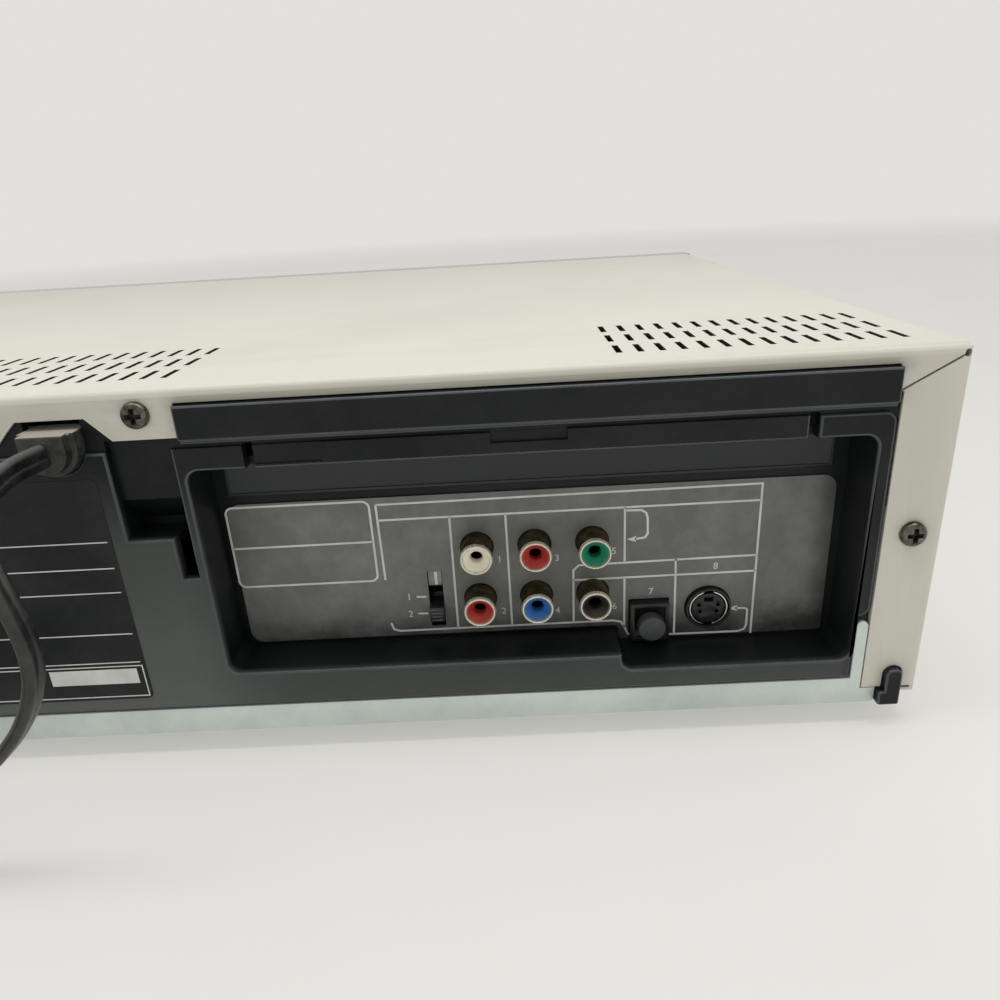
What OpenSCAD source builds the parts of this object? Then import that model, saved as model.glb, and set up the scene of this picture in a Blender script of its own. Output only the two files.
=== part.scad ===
// DVD player and VHS recorder in one case, seen as it comes apart on a bench.
// Front at -Y, rear at +Y, +Z up, origin under the middle of the feet. Millimetres.
// Places on the rear are given as a (from the -X side), b (above the cover's lower
// edge) and c (out of the rear flange), the way the rear is drawn when looked at.

/* [Case] */
// Width over the cover's sides
case_w = 430; // [424:1:436]
// Depth from the rear flange to the front face
case_d = 282; // [280:1:288]
// Height of the top above the table
case_h = 99; // [98:0.5:102]
// Depth of the front moulding
front_t = 16; // [15.5:0.5:18]
// Height of the feet
foot_h = 6.5; // [6:0.5:8]
// Radius of the feet
foot_r = 13; // [10:1:16]
// Sheet of the cover
cover_t = 0.8; // [0.6:0.1:0.9]
// Sheet of the floor pan and its walls
pan_t = 1; // [0.8:0.1:1.2]
// Outside radius of the folds
bend_r = 2.5; // [1.5:0.5:4]
// Height of the cover's rear edge above the underside of the pan
cover_lift = 4.5; // [4:0.5:6]
// Wall of the moulded parts
wall = 2; // [1.8:0.1:2.2]

/* [Cover] */
// Width of the cover's rear side flanges
side_flange_w = 14.4; // [12:0.2:14.6]
// Height of the cover's rear top flange
top_flange_h = 11.8; // [11:0.2:13]
// Number of cooling slots in a row
vent_cols = 14; // [6:1:16]
// Rows of cooling slots
vent_rows = 3; // [1:1:4]
// Spacing of the slots in a row
vent_pitch = 5; // [4:0.5:6]
// Width of a slot
vent_w = 1.5; // [1:0.1:2]
// Length of a slot
vent_len = 9; // [6:0.5:11]
// Radius of the cover screws' heads
screw_head_r = 3.1; // [2.6:0.1:3.4]
// Radius of the cover screws' shanks
screw_r = 1.5; // [1.2:0.1:1.6]

/* [Rear panel] */
// Height of the protruding visor
visor_h = 9; // [7:0.5:9.5]
// How far the visor stands out of the rear flange
visor_out = 2; // [1:0.5:4]
// Depth of the jack recesses
recess_d = 14.5; // [12:0.5:16]
// Width of the DVD jack recess
recess_w = 158; // [157:0.5:160]
// Height of the DVD jack recess
recess_h = 55.2; // [54.5:0.1:56]
// Thickness of the printed jack plates
plate_t = 0.5; // [0.3:0.1:0.8]

/* [Jacks] */
// Outside radius of a phono jack's barrel
rca_r = 4.1; // [3.9:0.1:4.3]
// Wall of a phono jack's barrel
rca_t = 0.7; // [0.5:0.1:0.9]
// Spacing of the phono jacks, both ways
rca_pitch = 14.9; // [14:0.1:15.4]
// How far a barrel stands out of the jack plate
rca_out = 8; // [6:0.5:10]
// Travel of the video select switch
switch_travel = 5; // [4:0.5:6]

/* [Mains lead] */
// Width of the flat two-core cord
cord_w = 5.6; // [5:0.1:6]
// Thickness of the flat two-core cord
cord_t = 2.9; // [2.6:0.1:3.2]
// Radius of the coil at the middle of its turns
coil_r = 34; // [30:1:38]
// Side of the square bundle of turns
coil_bundle = 13; // [11:0.5:15]

/* [DVD loader] */
// Distance of the loader's centre from the middle of the case
loader_x = -110; // [-112:1:-108]
// Underside of the tray above the table
tray_z = 74; // [73.5:0.5:74.5]
// Width of the tray between its rails
tray_w = 124; // [123.5:0.5:126]
// Length of the tray
tray_len = 164.5; // [160:0.5:168]
// Thickness of the tray
tray_t = 6; // [5:0.5:6.5]
// Travel of the tray
tray_travel = 135; // [120:1:136]
// Teeth on the tray gear
gear_teeth = 24; // [20:1:26]
// Module of the tray gear and its rack
gear_m = 1; // [0.9:0.05:1.05]
// Travel of the pickup
sled_travel = 34; // [28:1:36]

/* [Tape deck] */
// Distance of the deck's centre from the middle of the case
deck_x = 100; // [99:0.5:101]
// Underside of the deck plate above the table
deck_z = 40; // [39.5:0.5:41]
// Width of the cassette basket inside
basket_w = 190.8; // [189:0.2:191.2]
// Travel of the basket to the rear
basket_run = 62; // [55:1:63]
// Travel of the basket down on to the reels
basket_drop = 16; // [14:0.5:16]
// Radius of the head drum
drum_r = 31; // [29:0.5:31.5]
// Tilt of the head drum
drum_tilt = 5.8; // [5:0.1:6.2]
// Distance of a reel from the deck's centre
reel_dx = 46; // [45:0.5:46.5]
// Angle through which the pinch arm closes
pinch_swing = 14; // [10:1:16]

/* [Front] */
// Width of the cassette opening
door_w = 194; // [192:0.5:195]
// Height of the cassette opening
door_h = 30; // [29:0.5:30.5]
// Travel of the keys
key_travel = 0.8; // [0.5:0.1:0.9]
// Width of the display window
window_w = 124; // [110:1:126]
// Height of the display window
window_h = 26; // [22:1:28]

/* [Hidden] */
$fn = 48;
eps = 0.01;
// clearances: parts that run on each other, parts that pass each other, loose fits
run_gap = 0.05;
slip_gap = 0.3;
loose_gap = 0.5;

rear_y = case_d / 2;
front_y = -case_d / 2;
cover_front = front_y + front_t;
flange_z = foot_h + cover_lift;
floor_z = foot_h + pan_t;
hem_drop = 2.4;
hem_w = 5;
hem_back = bend_r / 2;
pan_half_w = case_w / 2 - cover_t - hem_w + 0.4;
pan_wall_h = 26;
panel_c = -max(pan_t, cover_t);
strip_top_b = 2.8;
tab_a = 14.9;
tab_w = 2.6;
tab_top_b = 19.6;
face_gap = 0.4;
visor_a = 15.8;
visor_w = 159.8;
visor_b = 74.8;
recess_a = 18.3;
recess_b = 12.8;
recess_step_a = 76;
recess_step_h = 4.4;
recess_back_c = -recess_d;
back_wall_c = recess_back_c - wall;
av_a = case_w - 100;
av_w = 80;
av_h = 50;
board_c = back_wall_c - 4.6;
board_t = 1.6;

// DVD jacks: distance of the first column, heights of the two rows
rca_a = 81.8;
rca_b = 23.8;
jack_face_c = recess_back_c + plate_t + rca_out;
av_rca_a = av_a + 16;
optical_a = 66.9;
optical_b = 15.2;
optical_size = 10.2;
optical_port = 7;
svideo_a = 51.2;
svideo_b = 17.9;
svideo_r = 5.9;
switch_a = 123.3;
switch_b = 20.4;
aerial_a = case_w - 32;
tuner_a = [aerial_a - 12, aerial_a + 14];
tuner_y = rear_y - 37;
tuner_top = case_h - 27;
relief_a = 204.5;
relief_b = 75.6;
relief_half = 6.5;
relief_top_b = 79.5;
relief_out = 5;
// places of the cover screws on the rear, as [a, b]
rear_screws = [[7.7, 43.3], [case_w - 7.7, 43.3], [184.3, 82], [case_w - 130, 82]];
side_screw_y = [front_y + 71, rear_y - 61];
side_screw_z = 22;

cover_b = case_h - flange_z;
mitre_b = visor_b + 3.5;
top_edge_b = cover_b - top_flange_h;
visor_edge_b = visor_b + visor_h + face_gap;
relief_edge_b = relief_top_b + 2.2;
// [a, b] corners of the opening that the rear flanges leave
flange_opening = [[side_flange_w, -9], [side_flange_w, mitre_b - 0.3], [visor_a, mitre_b - 0.3],
    [visor_a, visor_edge_b], [visor_a + visor_w + 0.2, visor_edge_b],
    [visor_a + visor_w + 0.2, top_edge_b], [191, top_edge_b], [196.3, relief_edge_b],
    [212, relief_edge_b], [214.5, relief_edge_b - 2.4], [217.6, top_edge_b],
    [case_w - side_flange_w, top_edge_b], [case_w - side_flange_w, -9]];
vent_groups = [9.8, 180.2];
clip_a = 6.9;
clip_notch_b = 3.7;
clip_notch_r = 2.6;
panel_a = 15;
front_wall = 2.4;
board_bosses = [[26, 30], [26, 61], [168, 61], [136, 18],
    [av_a + 8, 60], [av_a + 36, 12]];
av_b = 22;
// phono jacks as [a, b]: green, black, red, blue, white, red, then two rows of yellow, white, red
rca_places = concat(
    [for (i = [0 : 2], j = [1, 0]) [rca_a + i * rca_pitch, rca_b + j * rca_pitch]],
    [for (j = [2, 1, 0], i = [0, 1]) [av_rca_a + i * rca_pitch, av_b + j * rca_pitch]]);
aerial_b = [26, 46];

// boards and posts on the floor
board_z = 14;
post_r = 4;
main_x = [-62, case_w / 2 - 9];
side_x = [10 - case_w / 2, -70];
board_y = [cover_front + 7, rear_y - 27];
split_y = -1;
loader_foot_z = 52;
loader_wall = [tray_w / 2 + 2.4, tray_w / 2 + 12];
loader_floor_z = 58;
loader_y = [cover_front + 2, cover_front + 199];
loader_post_y = [loader_y[0] + 11, loader_y[1] - 8];
loader_posts = [for (x = [-70, 70], y = loader_post_y) [loader_x + x, y]];
deck_half = basket_w / 2 + 4.1;
deck_y = [cover_front + 11, cover_front + 229];
deck_posts = [for (x = [-92, 92], y = [deck_y[0] + 6, deck_y[1] - 6]) [deck_x + x, y]];
board_ends = [board_y[0] + 6, board_y[1] - 6];
board_posts = [[-56, board_ends[0]], [0, -40], [60, board_ends[0]], [60, 20],
               [-56, board_ends[1] - 2], [130, -60],
               for (x = [side_x[0] + 7, side_x[1] - 6], y = [board_ends[0], -8, 8, board_ends[1]]) [x, y]];

// loader
tray_front = front_y + 3.5;
disc_y = cover_front + 59;
disc_r = 60.5;
slot_half = 19;
tray_face_half = 68;
tray_face_z = [tray_z - 3.5, tray_z + 13.5];
gear_r = gear_m * gear_teeth / 2;
rack_dx = -54;
gear_pos = [loader_x + rack_dx + gear_r, loader_post_y[0]];
gear_z = tray_z - 3;
gear_phase = 0;
pulley_z = tray_z - 10;
pulley_r = 10;
motor_pulley_r = 3.2;
motor_pos = gear_pos + [30, 0];
traverse_z = 60;
traverse_half = 42;
traverse_y = [disc_y - 30, disc_y + 112];
pivot_y = traverse_y[1] - 2;
pivot_z = traverse_z + 1.3;
pivot_r = 2;
pivot_dx = traverse_half + 1;
rod_dx = 34;
rod_r = 1.5;
rod_z = traverse_z + 6.2;
sled_y = [disc_y + 16, disc_y + 50];
lens_y = disc_y + 24;
table_top_z = tray_z + 4.6;
bridge_z = tray_z + 11;
wall_top_z = tray_z + 8;

// deck
deck_t = 1.2;
deck_top = deck_z + deck_t;
carriage_t = 1.1;
basket_t = 1.2;
basket_y = [-105, -31];
basket_z = deck_z + 19;
basket_h = 29;
carriage_in = basket_w / 2 + basket_t + slip_gap;
guide_in = carriage_in + carriage_t + slip_gap;
stud_r = 2;
stud_z = deck_z + 42;
carriage_studs = [basket_y[0] + 11, basket_y[1] - 11];
basket_pins = [basket_y[0] + 19, basket_y[1] - 19];
pin_z = basket_z + 15;
guide_posts = [[60, 58], [140, 60], [66, 36]];
drum_pos = [deck_x, 72];
drum_h = 38;
drum_split = 19;
capstan_pos = [deck_x + 52, 44];
capstan_r = 1.5;
flywheel_r = 25;
pinch_pivot = [deck_x + 80, 58];
pinch_len = 26;
roller_r = 6.5;
pinch_reach = norm(capstan_pos - pinch_pivot);
pinch_base = atan2(capstan_pos[1] - pinch_pivot[1], capstan_pos[0] - pinch_pivot[0]);
roller_gap = capstan_r + roller_r + slip_gap;
pinch_closed = acos((pinch_len * pinch_len + pinch_reach * pinch_reach - roller_gap * roller_gap)
                    / (2 * pinch_len * pinch_reach));
pinch_angle = pinch_base + pinch_closed + pinch_swing;
roller_pos = pinch_pivot + pinch_len * [cos(pinch_angle), sin(pinch_angle)];
reel_y = -10;
reel_r = 29;
reel_pin_r = 2;
idler_pivot = [deck_x, -34];
idler_len = 24;
idler_r = 14;

// front
tray_slot_z = [tray_z - 4, tray_z + 14];
door_z = 56;
door_gap = 0.4;
door_t = 2.2;
door_axis_y = front_y + 5;
door_axis_z = door_z + door_h - 3;
door_pin_r = 1.2;
// the lower edge of the door clears the sill by the same gap as it swings in
door_reach = sqrt(pow(door_axis_z - door_z - door_gap, 2) - pow(door_axis_y - front_y, 2));
front_board_y = front_y + 12.8;
front_board_z = [12, 54];
window_z = 17;
front_jacks = [168, 182, 196];
window_x = -16;
front_bosses = [[-203, 18], [-84, 44], [-150, 18], [62, 46], [204, 44], [56, 18]];
front_jack_z = 24;
// keys: [x, z, width, height]
key_power = [-192, 34, 13, 13];
key_open = [-110, 49, 22, 6];
key_dvd_play = [-118, 30, 24, 9];
key_eject = [100, 49, 22, 6];
key_rewind = [80, 33, 16, 8];
key_play = [102, 33, 22, 8];
key_forward = [124, 33, 16, 8];
key_stop = [146, 33, 16, 8];
keys = [key_power, key_open, key_dvd_play, key_eject,
        key_rewind, key_play, key_forward, key_stop];

// The lead's route from the strain relief to the coil, chosen by hand.
cord_route = [[-10.5, 146, 86], [-9, 153, 86], [-8, 160, 85], [-8.5, 167, 82],
    [-11, 173, 77], [-14.5, 176.5, 70.5], [-17.5, 178, 62.5], [-18, 178, 54],
    [-15.5, 178, 45.5], [-10.5, 178, 37.5], [-3, 178, 30], [6.5, 178.3, 23],
    [17.5, 178.7, 16.5], [29.5, 179, 11], [42.5, 179, 6.6], [54, 179, 4], [62, 179, 3.3]];
cord_turn = 110;
coil_pos = [77, 218.05];
coil_out = coil_r + coil_bundle / 2;
plug_pos = coil_pos + [31, cord_t / 2 - coil_out];

// ---------- shared shapes ----------

// A block on the rear, between pairs of a, b and c.
module rear_block(a, b, c) {
    translate([a[0] - case_w / 2, rear_y + c[0], flange_z + b[0]])
        cube([a[1] - a[0], c[1] - c[0], b[1] - b[0]]);
}

// A rod that runs out of the rear, between a pair of c.
module rear_rod(a, b, c, r) {
    translate([a - case_w / 2, rear_y + c[0], flange_z + b])
        rotate([-90, 0, 0]) cylinder(h = c[1] - c[0], r = r);
}

module rounded_rect(w, h, r) {
    translate([r, 0]) square([w - 2 * r, h]);
    translate([0, r]) square([w, h - 2 * r]);
    for (x = [r, w - r], y = [r, h - r]) translate([x, y]) circle(r);
}

// A rounded plate facing the rear, between pairs of a, b and c.
module rear_plate(a, b, c, r) {
    translate([a[0] - case_w / 2, rear_y + c[1], flange_z + b[0]]) rotate([90, 0, 0])
        linear_extrude(c[1] - c[0]) rounded_rect(a[1] - a[0], b[1] - b[0], r);
}

// A block between two corners.
module span(low, high) {
    translate(low) cube(high - low);
}

// A tube between two heights.
module tube(r, bore, z) {
    translate([0, 0, z[0]]) difference() {
        cylinder(h = z[1] - z[0], r = r);
        translate([0, 0, -1]) cylinder(h = z[1] - z[0] + 2, r = bore);
    }
}

module at_each(places) {
    for (p = places) translate([p[0], p[1], 0]) children();
}

module both_sides() {
    children();
    mirror([1, 0, 0]) children();
}

// A bar that runs along X, between a pair of x.
module x_rod(x, y, z, r) {
    translate([x[0], y, z]) rotate([0, 90, 0]) cylinder(h = x[1] - x[0], r = r);
}

// A bar that runs along Y, between a pair of y.
module y_rod(x, y, z, r) {
    translate([x, y[0], z]) rotate([-90, 0, 0]) cylinder(h = y[1] - y[0], r = r);
}

// ---------- case ----------

// The cover as a solid with its folds rounded, inset from its outer faces.
module folded(inset, front, bottom) {
    half = case_w / 2 - inset;
    rear = rear_y - inset;
    top = case_h - inset;
    r = bend_r - inset;
    intersection() {
        translate([0, rear + 1, 0]) rotate([90, 0, 0]) linear_extrude(rear + 2 - front) {
            translate([-half, bottom]) square([2 * half, top - bottom - r]);
            translate([r - half, bottom]) square([2 * half - 2 * r, top - bottom]);
            for (x = [r - half, half - r]) translate([x, top - r]) circle(r);
        }
        translate([0, 0, bottom - 1]) linear_extrude(top - bottom + 2) {
            translate([-half, front]) square([2 * half, rear - front - r]);
            translate([r - half, front]) square([2 * half - 2 * r, rear - front]);
            for (x = [r - half, half - r]) translate([x, rear - r]) circle(r);
        }
        rotate([90, 0, 90]) translate([0, 0, -half - 1]) linear_extrude(2 * half + 2) {
            translate([front, bottom]) square([rear - front, top - bottom - r]);
            translate([front, bottom]) square([rear - front - r, top - bottom]);
            translate([rear - r, top - r]) circle(r);
        }
    }
}

module top_cover() color("Gainsboro") {
    hem_z = flange_z - hem_drop;
    difference() {
        folded(0, cover_front, hem_z);
        folded(cover_t, cover_front - 1, hem_z - 1);
        // the opening that the rear flanges leave
        translate([-case_w / 2, rear_y + 1, flange_z]) rotate([90, 0, 0])
            linear_extrude(cover_t + 1.5) polygon(flange_opening);
        // below the flanges the sides stop short of the fold
        span([-case_w, rear_y - hem_back, 0], [case_w, rear_y + 1, flange_z]);
        // mitred corners of the flanges, with their relief holes
        both_sides() translate([-case_w / 2, rear_y + 1, flange_z]) rotate([90, 0, 0])
            linear_extrude(bend_r + 1.5) {
                polygon([[1.2, cover_b - 2.3], [side_flange_w + 1, mitre_b - 0.6],
                         [side_flange_w + 1, mitre_b], [1.2, cover_b - 1.7]]);
                translate([1.6, cover_b - 2.3]) circle(0.9);
            }
        // notches for the locating posts
        both_sides() rear_rod(clip_a, clip_notch_b, [-bend_r, 1], clip_notch_r);
        both_sides() rear_block([clip_a - clip_notch_r, clip_a + clip_notch_r],
                                [-1, clip_notch_b], [-bend_r, 1]);
        for (p = rear_screws) rear_rod(p[0], p[1], [-bend_r, 1], screw_r + run_gap);
        both_sides() for (y = side_screw_y)
            x_rod([-case_w / 2 - 1, 3 - case_w / 2], y, side_screw_z, screw_r + run_gap);
        // cooling slots
        for (g = vent_groups, i = [0 : vent_cols - 1], j = [0 : vent_rows - 1])
            translate([g + i * vent_pitch - case_w / 2, rear_y - 14 * (j + 1) - vent_len / 2,
                       case_h - 2])
                cube([vent_w, vent_len, 4]);
    }
    // inward hems along the bottom of the sides
    both_sides() span([cover_t / 2 - case_w / 2, cover_front, hem_z],
                      [hem_w - case_w / 2, rear_y - hem_back, hem_z + cover_t]);
}

module chassis_pan() color("LightSteelBlue") {
    wall_top = foot_h + pan_wall_h;
    tab_c = -cover_t - 0.1;
    difference() {
        union() {
            span([-pan_half_w, cover_front + 0.3, foot_h], [pan_half_w, rear_y - pan_t + eps, floor_z]);
            both_sides() {
                // side wall, its taller rear end and the tab turned in behind the flange
                span([-pan_half_w, cover_front + 0.3, foot_h],
                     [pan_t - pan_half_w, rear_y + tab_c, wall_top]);
                span([-pan_half_w, rear_y - 16, foot_h],
                     [pan_t - pan_half_w, rear_y + tab_c, flange_z + 50]);
                rear_plate([case_w / 2 - pan_half_w, side_flange_w], [0.2, 50],
                           [tab_c - pan_t, tab_c], 0.4);
                // dimples that meet the cover at the side screws
                for (y = side_screw_y)
                    x_rod([cover_t + 0.1 - case_w / 2, pan_t - pan_half_w], y, side_screw_z, 6);
                // end of the rear strip below the side flange
                rear_block([clip_a + clip_notch_r + 1.4, tab_a], [-cover_lift, -0.3], [-pan_t, 0]);
                // upright tab at the end of the strip
                rear_block([tab_a - 0.1, tab_a + tab_w], [0, tab_top_b - 1], [-pan_t, 0]);
                rear_rod(tab_a + tab_w / 2, tab_top_b - tab_w / 2, [-pan_t, 0], tab_w / 2);
            }
            rear_block([tab_a - 0.1, case_w - tab_a + 0.1], [-cover_lift, strip_top_b], [-pan_t, 0]);
        }
        both_sides() {
            for (y = side_screw_y) {
                x_rod([cover_t + 1.1 - case_w / 2, pan_t + 1 - pan_half_w], y, side_screw_z, 5);
                x_rod([-case_w / 2, 0], y, side_screw_z, screw_r + run_gap);
            }
            rear_rod(rear_screws[0][0], rear_screws[0][1], [-6, 0], screw_r + run_gap);
            rear_rod(clip_a, clip_notch_b, [-6, 0], 1.2 + run_gap);
        }
        // cooling slots in the floor
        for (g = [-176, -96, 30, 110], i = [0 : 5])
            translate([g + 9 * i, -60, 0]) cube([3.5, 40, 20]);
    }
}

// Moulded standoffs on the floor pan, which carry the boards and both decks.
module standoffs() color("DimGray") {
    standoff(board_posts, board_z, 4, 1.2);
    standoff(loader_posts, loader_foot_z, 10, 1.3);
    standoff(deck_posts, deck_z, 10, 1.3);
}

// Standoffs at each place, with a square foot and a screw hole in the top.
module standoff(places, top, hole, hole_r) {
    at_each(places) difference() {
        union() {
            span([-6, -6, floor_z], [6, 6, floor_z + 2]);
            translate([0, 0, floor_z]) cylinder(h = top - floor_z, r = post_r);
        }
        translate([0, 0, top - hole]) cylinder(h = hole + 1, r = hole_r);
    }
}

module feet() color("Black") {
    for (x = [35 - case_w / 2, case_w / 2 - 35], y = [cover_front + foot_r + 2, rear_y - 29])
        translate([x, y, 0]) rotate_extrude()
        polygon([[0, 0.8], [foot_r - 5, 0.8], [foot_r - 4, 0], [foot_r - 2, 0],
                 [foot_r - 1, 1], [foot_r, foot_h - 1.2], [foot_r, foot_h], [0, foot_h]]);
}

// A pan-head screw that stands on z = 0 and points down.
module pan_screw(length) {
    difference() {
        rotate_extrude() polygon([[0, -length], [screw_r - 0.4, -length], [screw_r, 0.6 - length],
            [screw_r, 0], [screw_head_r, 0], [screw_head_r, 0.8], [screw_head_r - 0.5, 1.5],
            [screw_head_r - 1.4, 1.9], [0, 2]]);
        for (a = [0, 90]) rotate(a) translate([-1.7, -0.35, 0.9]) cube([3.4, 0.7, 3]);
    }
}

module cover_screws() color("DarkSlateGray") {
    for (p = rear_screws) translate([p[0] - case_w / 2, rear_y, flange_z + p[1]])
        rotate([-90, 0, 0]) pan_screw(6);
    both_sides() for (y = side_screw_y) translate([-case_w / 2, y, side_screw_z])
        rotate([0, -90, 0]) pan_screw(5);
}

// ---------- rear ----------

module rear_panel() color("Black") {
    difference() {
        union() {
            rear_plate([panel_a, case_w - panel_a], [floor_z - flange_z + 0.1, cover_b - bend_r - 0.3],
                       [panel_c - wall, panel_c], 1.5);
            // raised face
            rear_plate([tab_a + 3, case_w - tab_a - 3], [strip_top_b + face_gap, 73.5],
                       [panel_c - 1, 0], 0.8);
            rear_plate([tab_a, case_w - tab_a], [tab_top_b + 1.4, 73.5], [panel_c - 1, 0], 2.8);
            // visor, with its lower lip
            rear_block([visor_a, visor_a + visor_w], [visor_b, visor_b + visor_h],
                       [panel_c - 1, visor_out - 1]);
            rear_block([visor_a, visor_a + visor_w], [visor_b + 1, visor_b + visor_h],
                       [panel_c - 1, visor_out]);
            // bodies of the jack recesses
            rear_plate([recess_a - wall, recess_a + recess_w + wall],
                       [recess_b - wall, recess_b + recess_h + wall], [back_wall_c, panel_c], 5);
            rear_plate([recess_a - wall, recess_step_a + wall],
                       [recess_b - recess_step_h - wall, recess_b + 20], [back_wall_c, panel_c], 5);
            rear_plate([av_a - wall, av_a + av_w + wall], [recess_b - wall, recess_b + av_h + wall],
                       [back_wall_c, panel_c], 5);
            // body of the clip's pocket
            rear_block([177, 195], [49.5, 62], [-12, panel_c]);
            // bosses for the screws of the top flange and for the jack boards
            for (i = [2, 3]) rear_rod(rear_screws[i][0], rear_screws[i][1], [-9, panel_c - 1], 3.6);
            for (p = board_bosses) rear_rod(p[0], p[1], [board_c, back_wall_c + 1], 3);
        }
        // recesses
        rear_plate([recess_a, recess_a + recess_w], [recess_b, recess_b + recess_h],
                   [recess_back_c, 1], 3);
        rear_plate([recess_a, recess_step_a], [recess_b - recess_step_h, recess_b + 20],
                   [recess_back_c, 1], 3);
        rear_plate([av_a, av_a + av_w], [recess_b, recess_b + av_h], [recess_back_c, 1], 3);
        // openings for the jacks in the back walls
        jack_openings([back_wall_c - 1, recess_back_c + 1], slip_gap);
        // sunken pocket and the hole beside its clip
        difference() {
            rear_block([178.6, 193.6], [40.5, 76], [panel_c - 1.5, 1]);
            rear_block([182.5, 194], [40, 51.3], [-9, 2]);
        }
        translate([178.6 - case_w / 2, rear_y, flange_z]) rotate([90, 0, 90]) linear_extrude(15)
            polygon([[panel_c - 1.5, 61], [1, 61], [1, 51.3], [-10, 51.3], [-10, 53.5]]);
        rear_block([178.6, 182.3], [40.5, 57], [-12, 1]);
        // slot of the strain relief, open at the top
        rear_rod(relief_a, relief_b, [-9, 1], relief_half + 0.1);
        rear_block([relief_a - relief_half - 0.1, relief_a + relief_half + 0.1],
                   [relief_b, cover_b], [-9, 1]);
        // marks in the band under the visor
        for (a = [160, 32]) rear_block([a, a + 2.3], [recess_b + recess_h - 1, 74], [-3.5, 1]);
        rear_block([144.3, 160.1], [69, 74], [-0.4, 1]);
        rear_block([88.5, 106], [71, 74], [-0.9, 1]);
        for (i = [2, 3]) rear_rod(rear_screws[i][0], rear_screws[i][1], [-8, 1], screw_r + run_gap);
    }
    // locating posts in the notches of the cover, with their stubs
    both_sides() {
        rear_plate([clip_a - 1.7, clip_a + 2.3], [-3, clip_notch_b + 2.3], [-cover_t - 0.05, 2], 1.6);
        rear_plate([clip_a - 1.7, clip_a + 3.7], [-cover_lift, -0.4], [-cover_t - 0.05, 2], 0.6);
        rear_rod(clip_a, clip_notch_b, [-4, 0], 1.2);
    }
}

// What the jacks need cut through, between a pair of c, with a gap all round.
module jack_openings(c, gap) {
    for (p = rca_places) rear_rod(p[0], p[1], c, rca_r + gap);
    rear_rod(svideo_a, svideo_b, c, svideo_r + gap);
    rear_block([optical_a - optical_size / 2 - gap, optical_a + optical_size / 2 + gap],
               [optical_b - 5.6 - gap, optical_b + 5.6 + gap], c);
    rear_block([switch_a - 1.95, switch_a + 1.95], [switch_b - 4.6, switch_b + switch_travel + 7], c);
    for (b = aerial_b) rear_rod(aerial_a, b, c, 4.8 + gap);
}

module jack_plate() color("DarkSlateGray") {
    c = [recess_back_c, recess_back_c + plate_t];
    difference() {
        union() {
            rear_plate([recess_a + 2.2, recess_a + recess_w - 1.8], [recess_b + 0.6, recess_b + 41],
                       c, 3.5);
            rear_plate([recess_a + 2.2, recess_step_a - 1], [recess_b - recess_step_h + 0.8,
                       recess_b + 20], c, 1);
            rear_plate([av_a + 2, av_a + av_w - 2], [recess_b + 0.6, recess_b + av_h - 4], c, 3.5);
        }
        jack_openings([c[0] - 1, c[1] + 1], slip_gap);
    }
}

module rca_barrels() color("Silver") {
    face = jack_face_c;
    for (p = rca_places) translate([p[0] - case_w / 2, rear_y, flange_z + p[1]]) rotate([-90, 0, 0])
        tube(rca_r, rca_r - rca_t, [back_wall_c - 3, face]);
    for (x = front_jacks) translate([x, front_y - 1, front_jack_z]) rotate([-90, 0, 0])
        tube(rca_r, rca_r - rca_t, [0, 11]);
}

// The insert of a phono jack, with its face at z = 0.
module rca_insert() {
    translate([0, 0, -10]) difference() {
        cylinder(h = 9.7, r = rca_r - rca_t - run_gap);
        translate([0, 0, 3]) cylinder(h = 8, r = 1.65);
    }
}

module rear_inserts(places) {
    for (p = places) translate([p[0] - case_w / 2, rear_y + jack_face_c, flange_z + p[1]])
        rotate([-90, 0, 0]) rca_insert();
}

module front_insert(i) {
    translate([front_jacks[i], front_y - 1, front_jack_z]) rotate([90, 0, 0]) rca_insert();
}

module rca_white() color("White") {
    rear_inserts([rca_places[4], rca_places[8], rca_places[9]]);
    front_insert(1);
}

module rca_red() color("Red") {
    rear_inserts([rca_places[5], rca_places[2], rca_places[10], rca_places[11]]);
    front_insert(2);
}

module rca_yellow() color("Gold") {
    rear_inserts([rca_places[6], rca_places[7]]);
    front_insert(0);
}

module rca_green() color("Green") rear_inserts([rca_places[0]]);

module rca_blue() color("Blue") rear_inserts([rca_places[3]]);

module rca_black() color("Black") rear_inserts([rca_places[1]]);

module svideo_jack() color("DarkSlateGray") {
    translate([svideo_a - case_w / 2, rear_y, flange_z + svideo_b]) rotate([-90, 0, 0]) {
        difference() {
            translate([0, 0, board_c]) cylinder(h = -12.5 - board_c, r = svideo_r);
            translate([0, 0, -17]) cylinder(h = 6, r = svideo_r - 0.5);
        }
        // core with its four sockets and the key
        difference() {
            translate([0, 0, -17.5]) cylinder(h = 4.5, r = svideo_r - 1.6);
            for (p = [[-2.2, 1.1], [2.2, 1.1], [-2.5, -0.85], [2.5, -0.85]])
                translate([p[0], p[1], -15]) cylinder(h = 3, r = 0.5);
            translate([-1.2, -3.3, -15]) cube([2.4, 1.4, 3]);
        }
    }
}

module optical_jack() color("Black") {
    difference() {
        rear_block([optical_a - optical_size / 2, optical_a + optical_size / 2],
                   [optical_b - 5.6, optical_b + 5.6], [board_c, -11.5]);
        // sunken face and the port
        rear_block([optical_a - 3.9, optical_a + 3.9], [optical_b - 4.4, optical_b + 4.4], [-12.2, -11]);
        rear_rod(optical_a, optical_b, [-19, -11], optical_port / 2 - 1 + run_gap);
    }
}

// Dust cap of the optical port, which pulls out.
module optical_cap() color("Black") {
    rear_rod(optical_a, optical_b, [-18, -11], optical_port / 2 - 1);
    rear_rod(optical_a, optical_b, [-11.2, -8], optical_port / 2);
}

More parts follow.
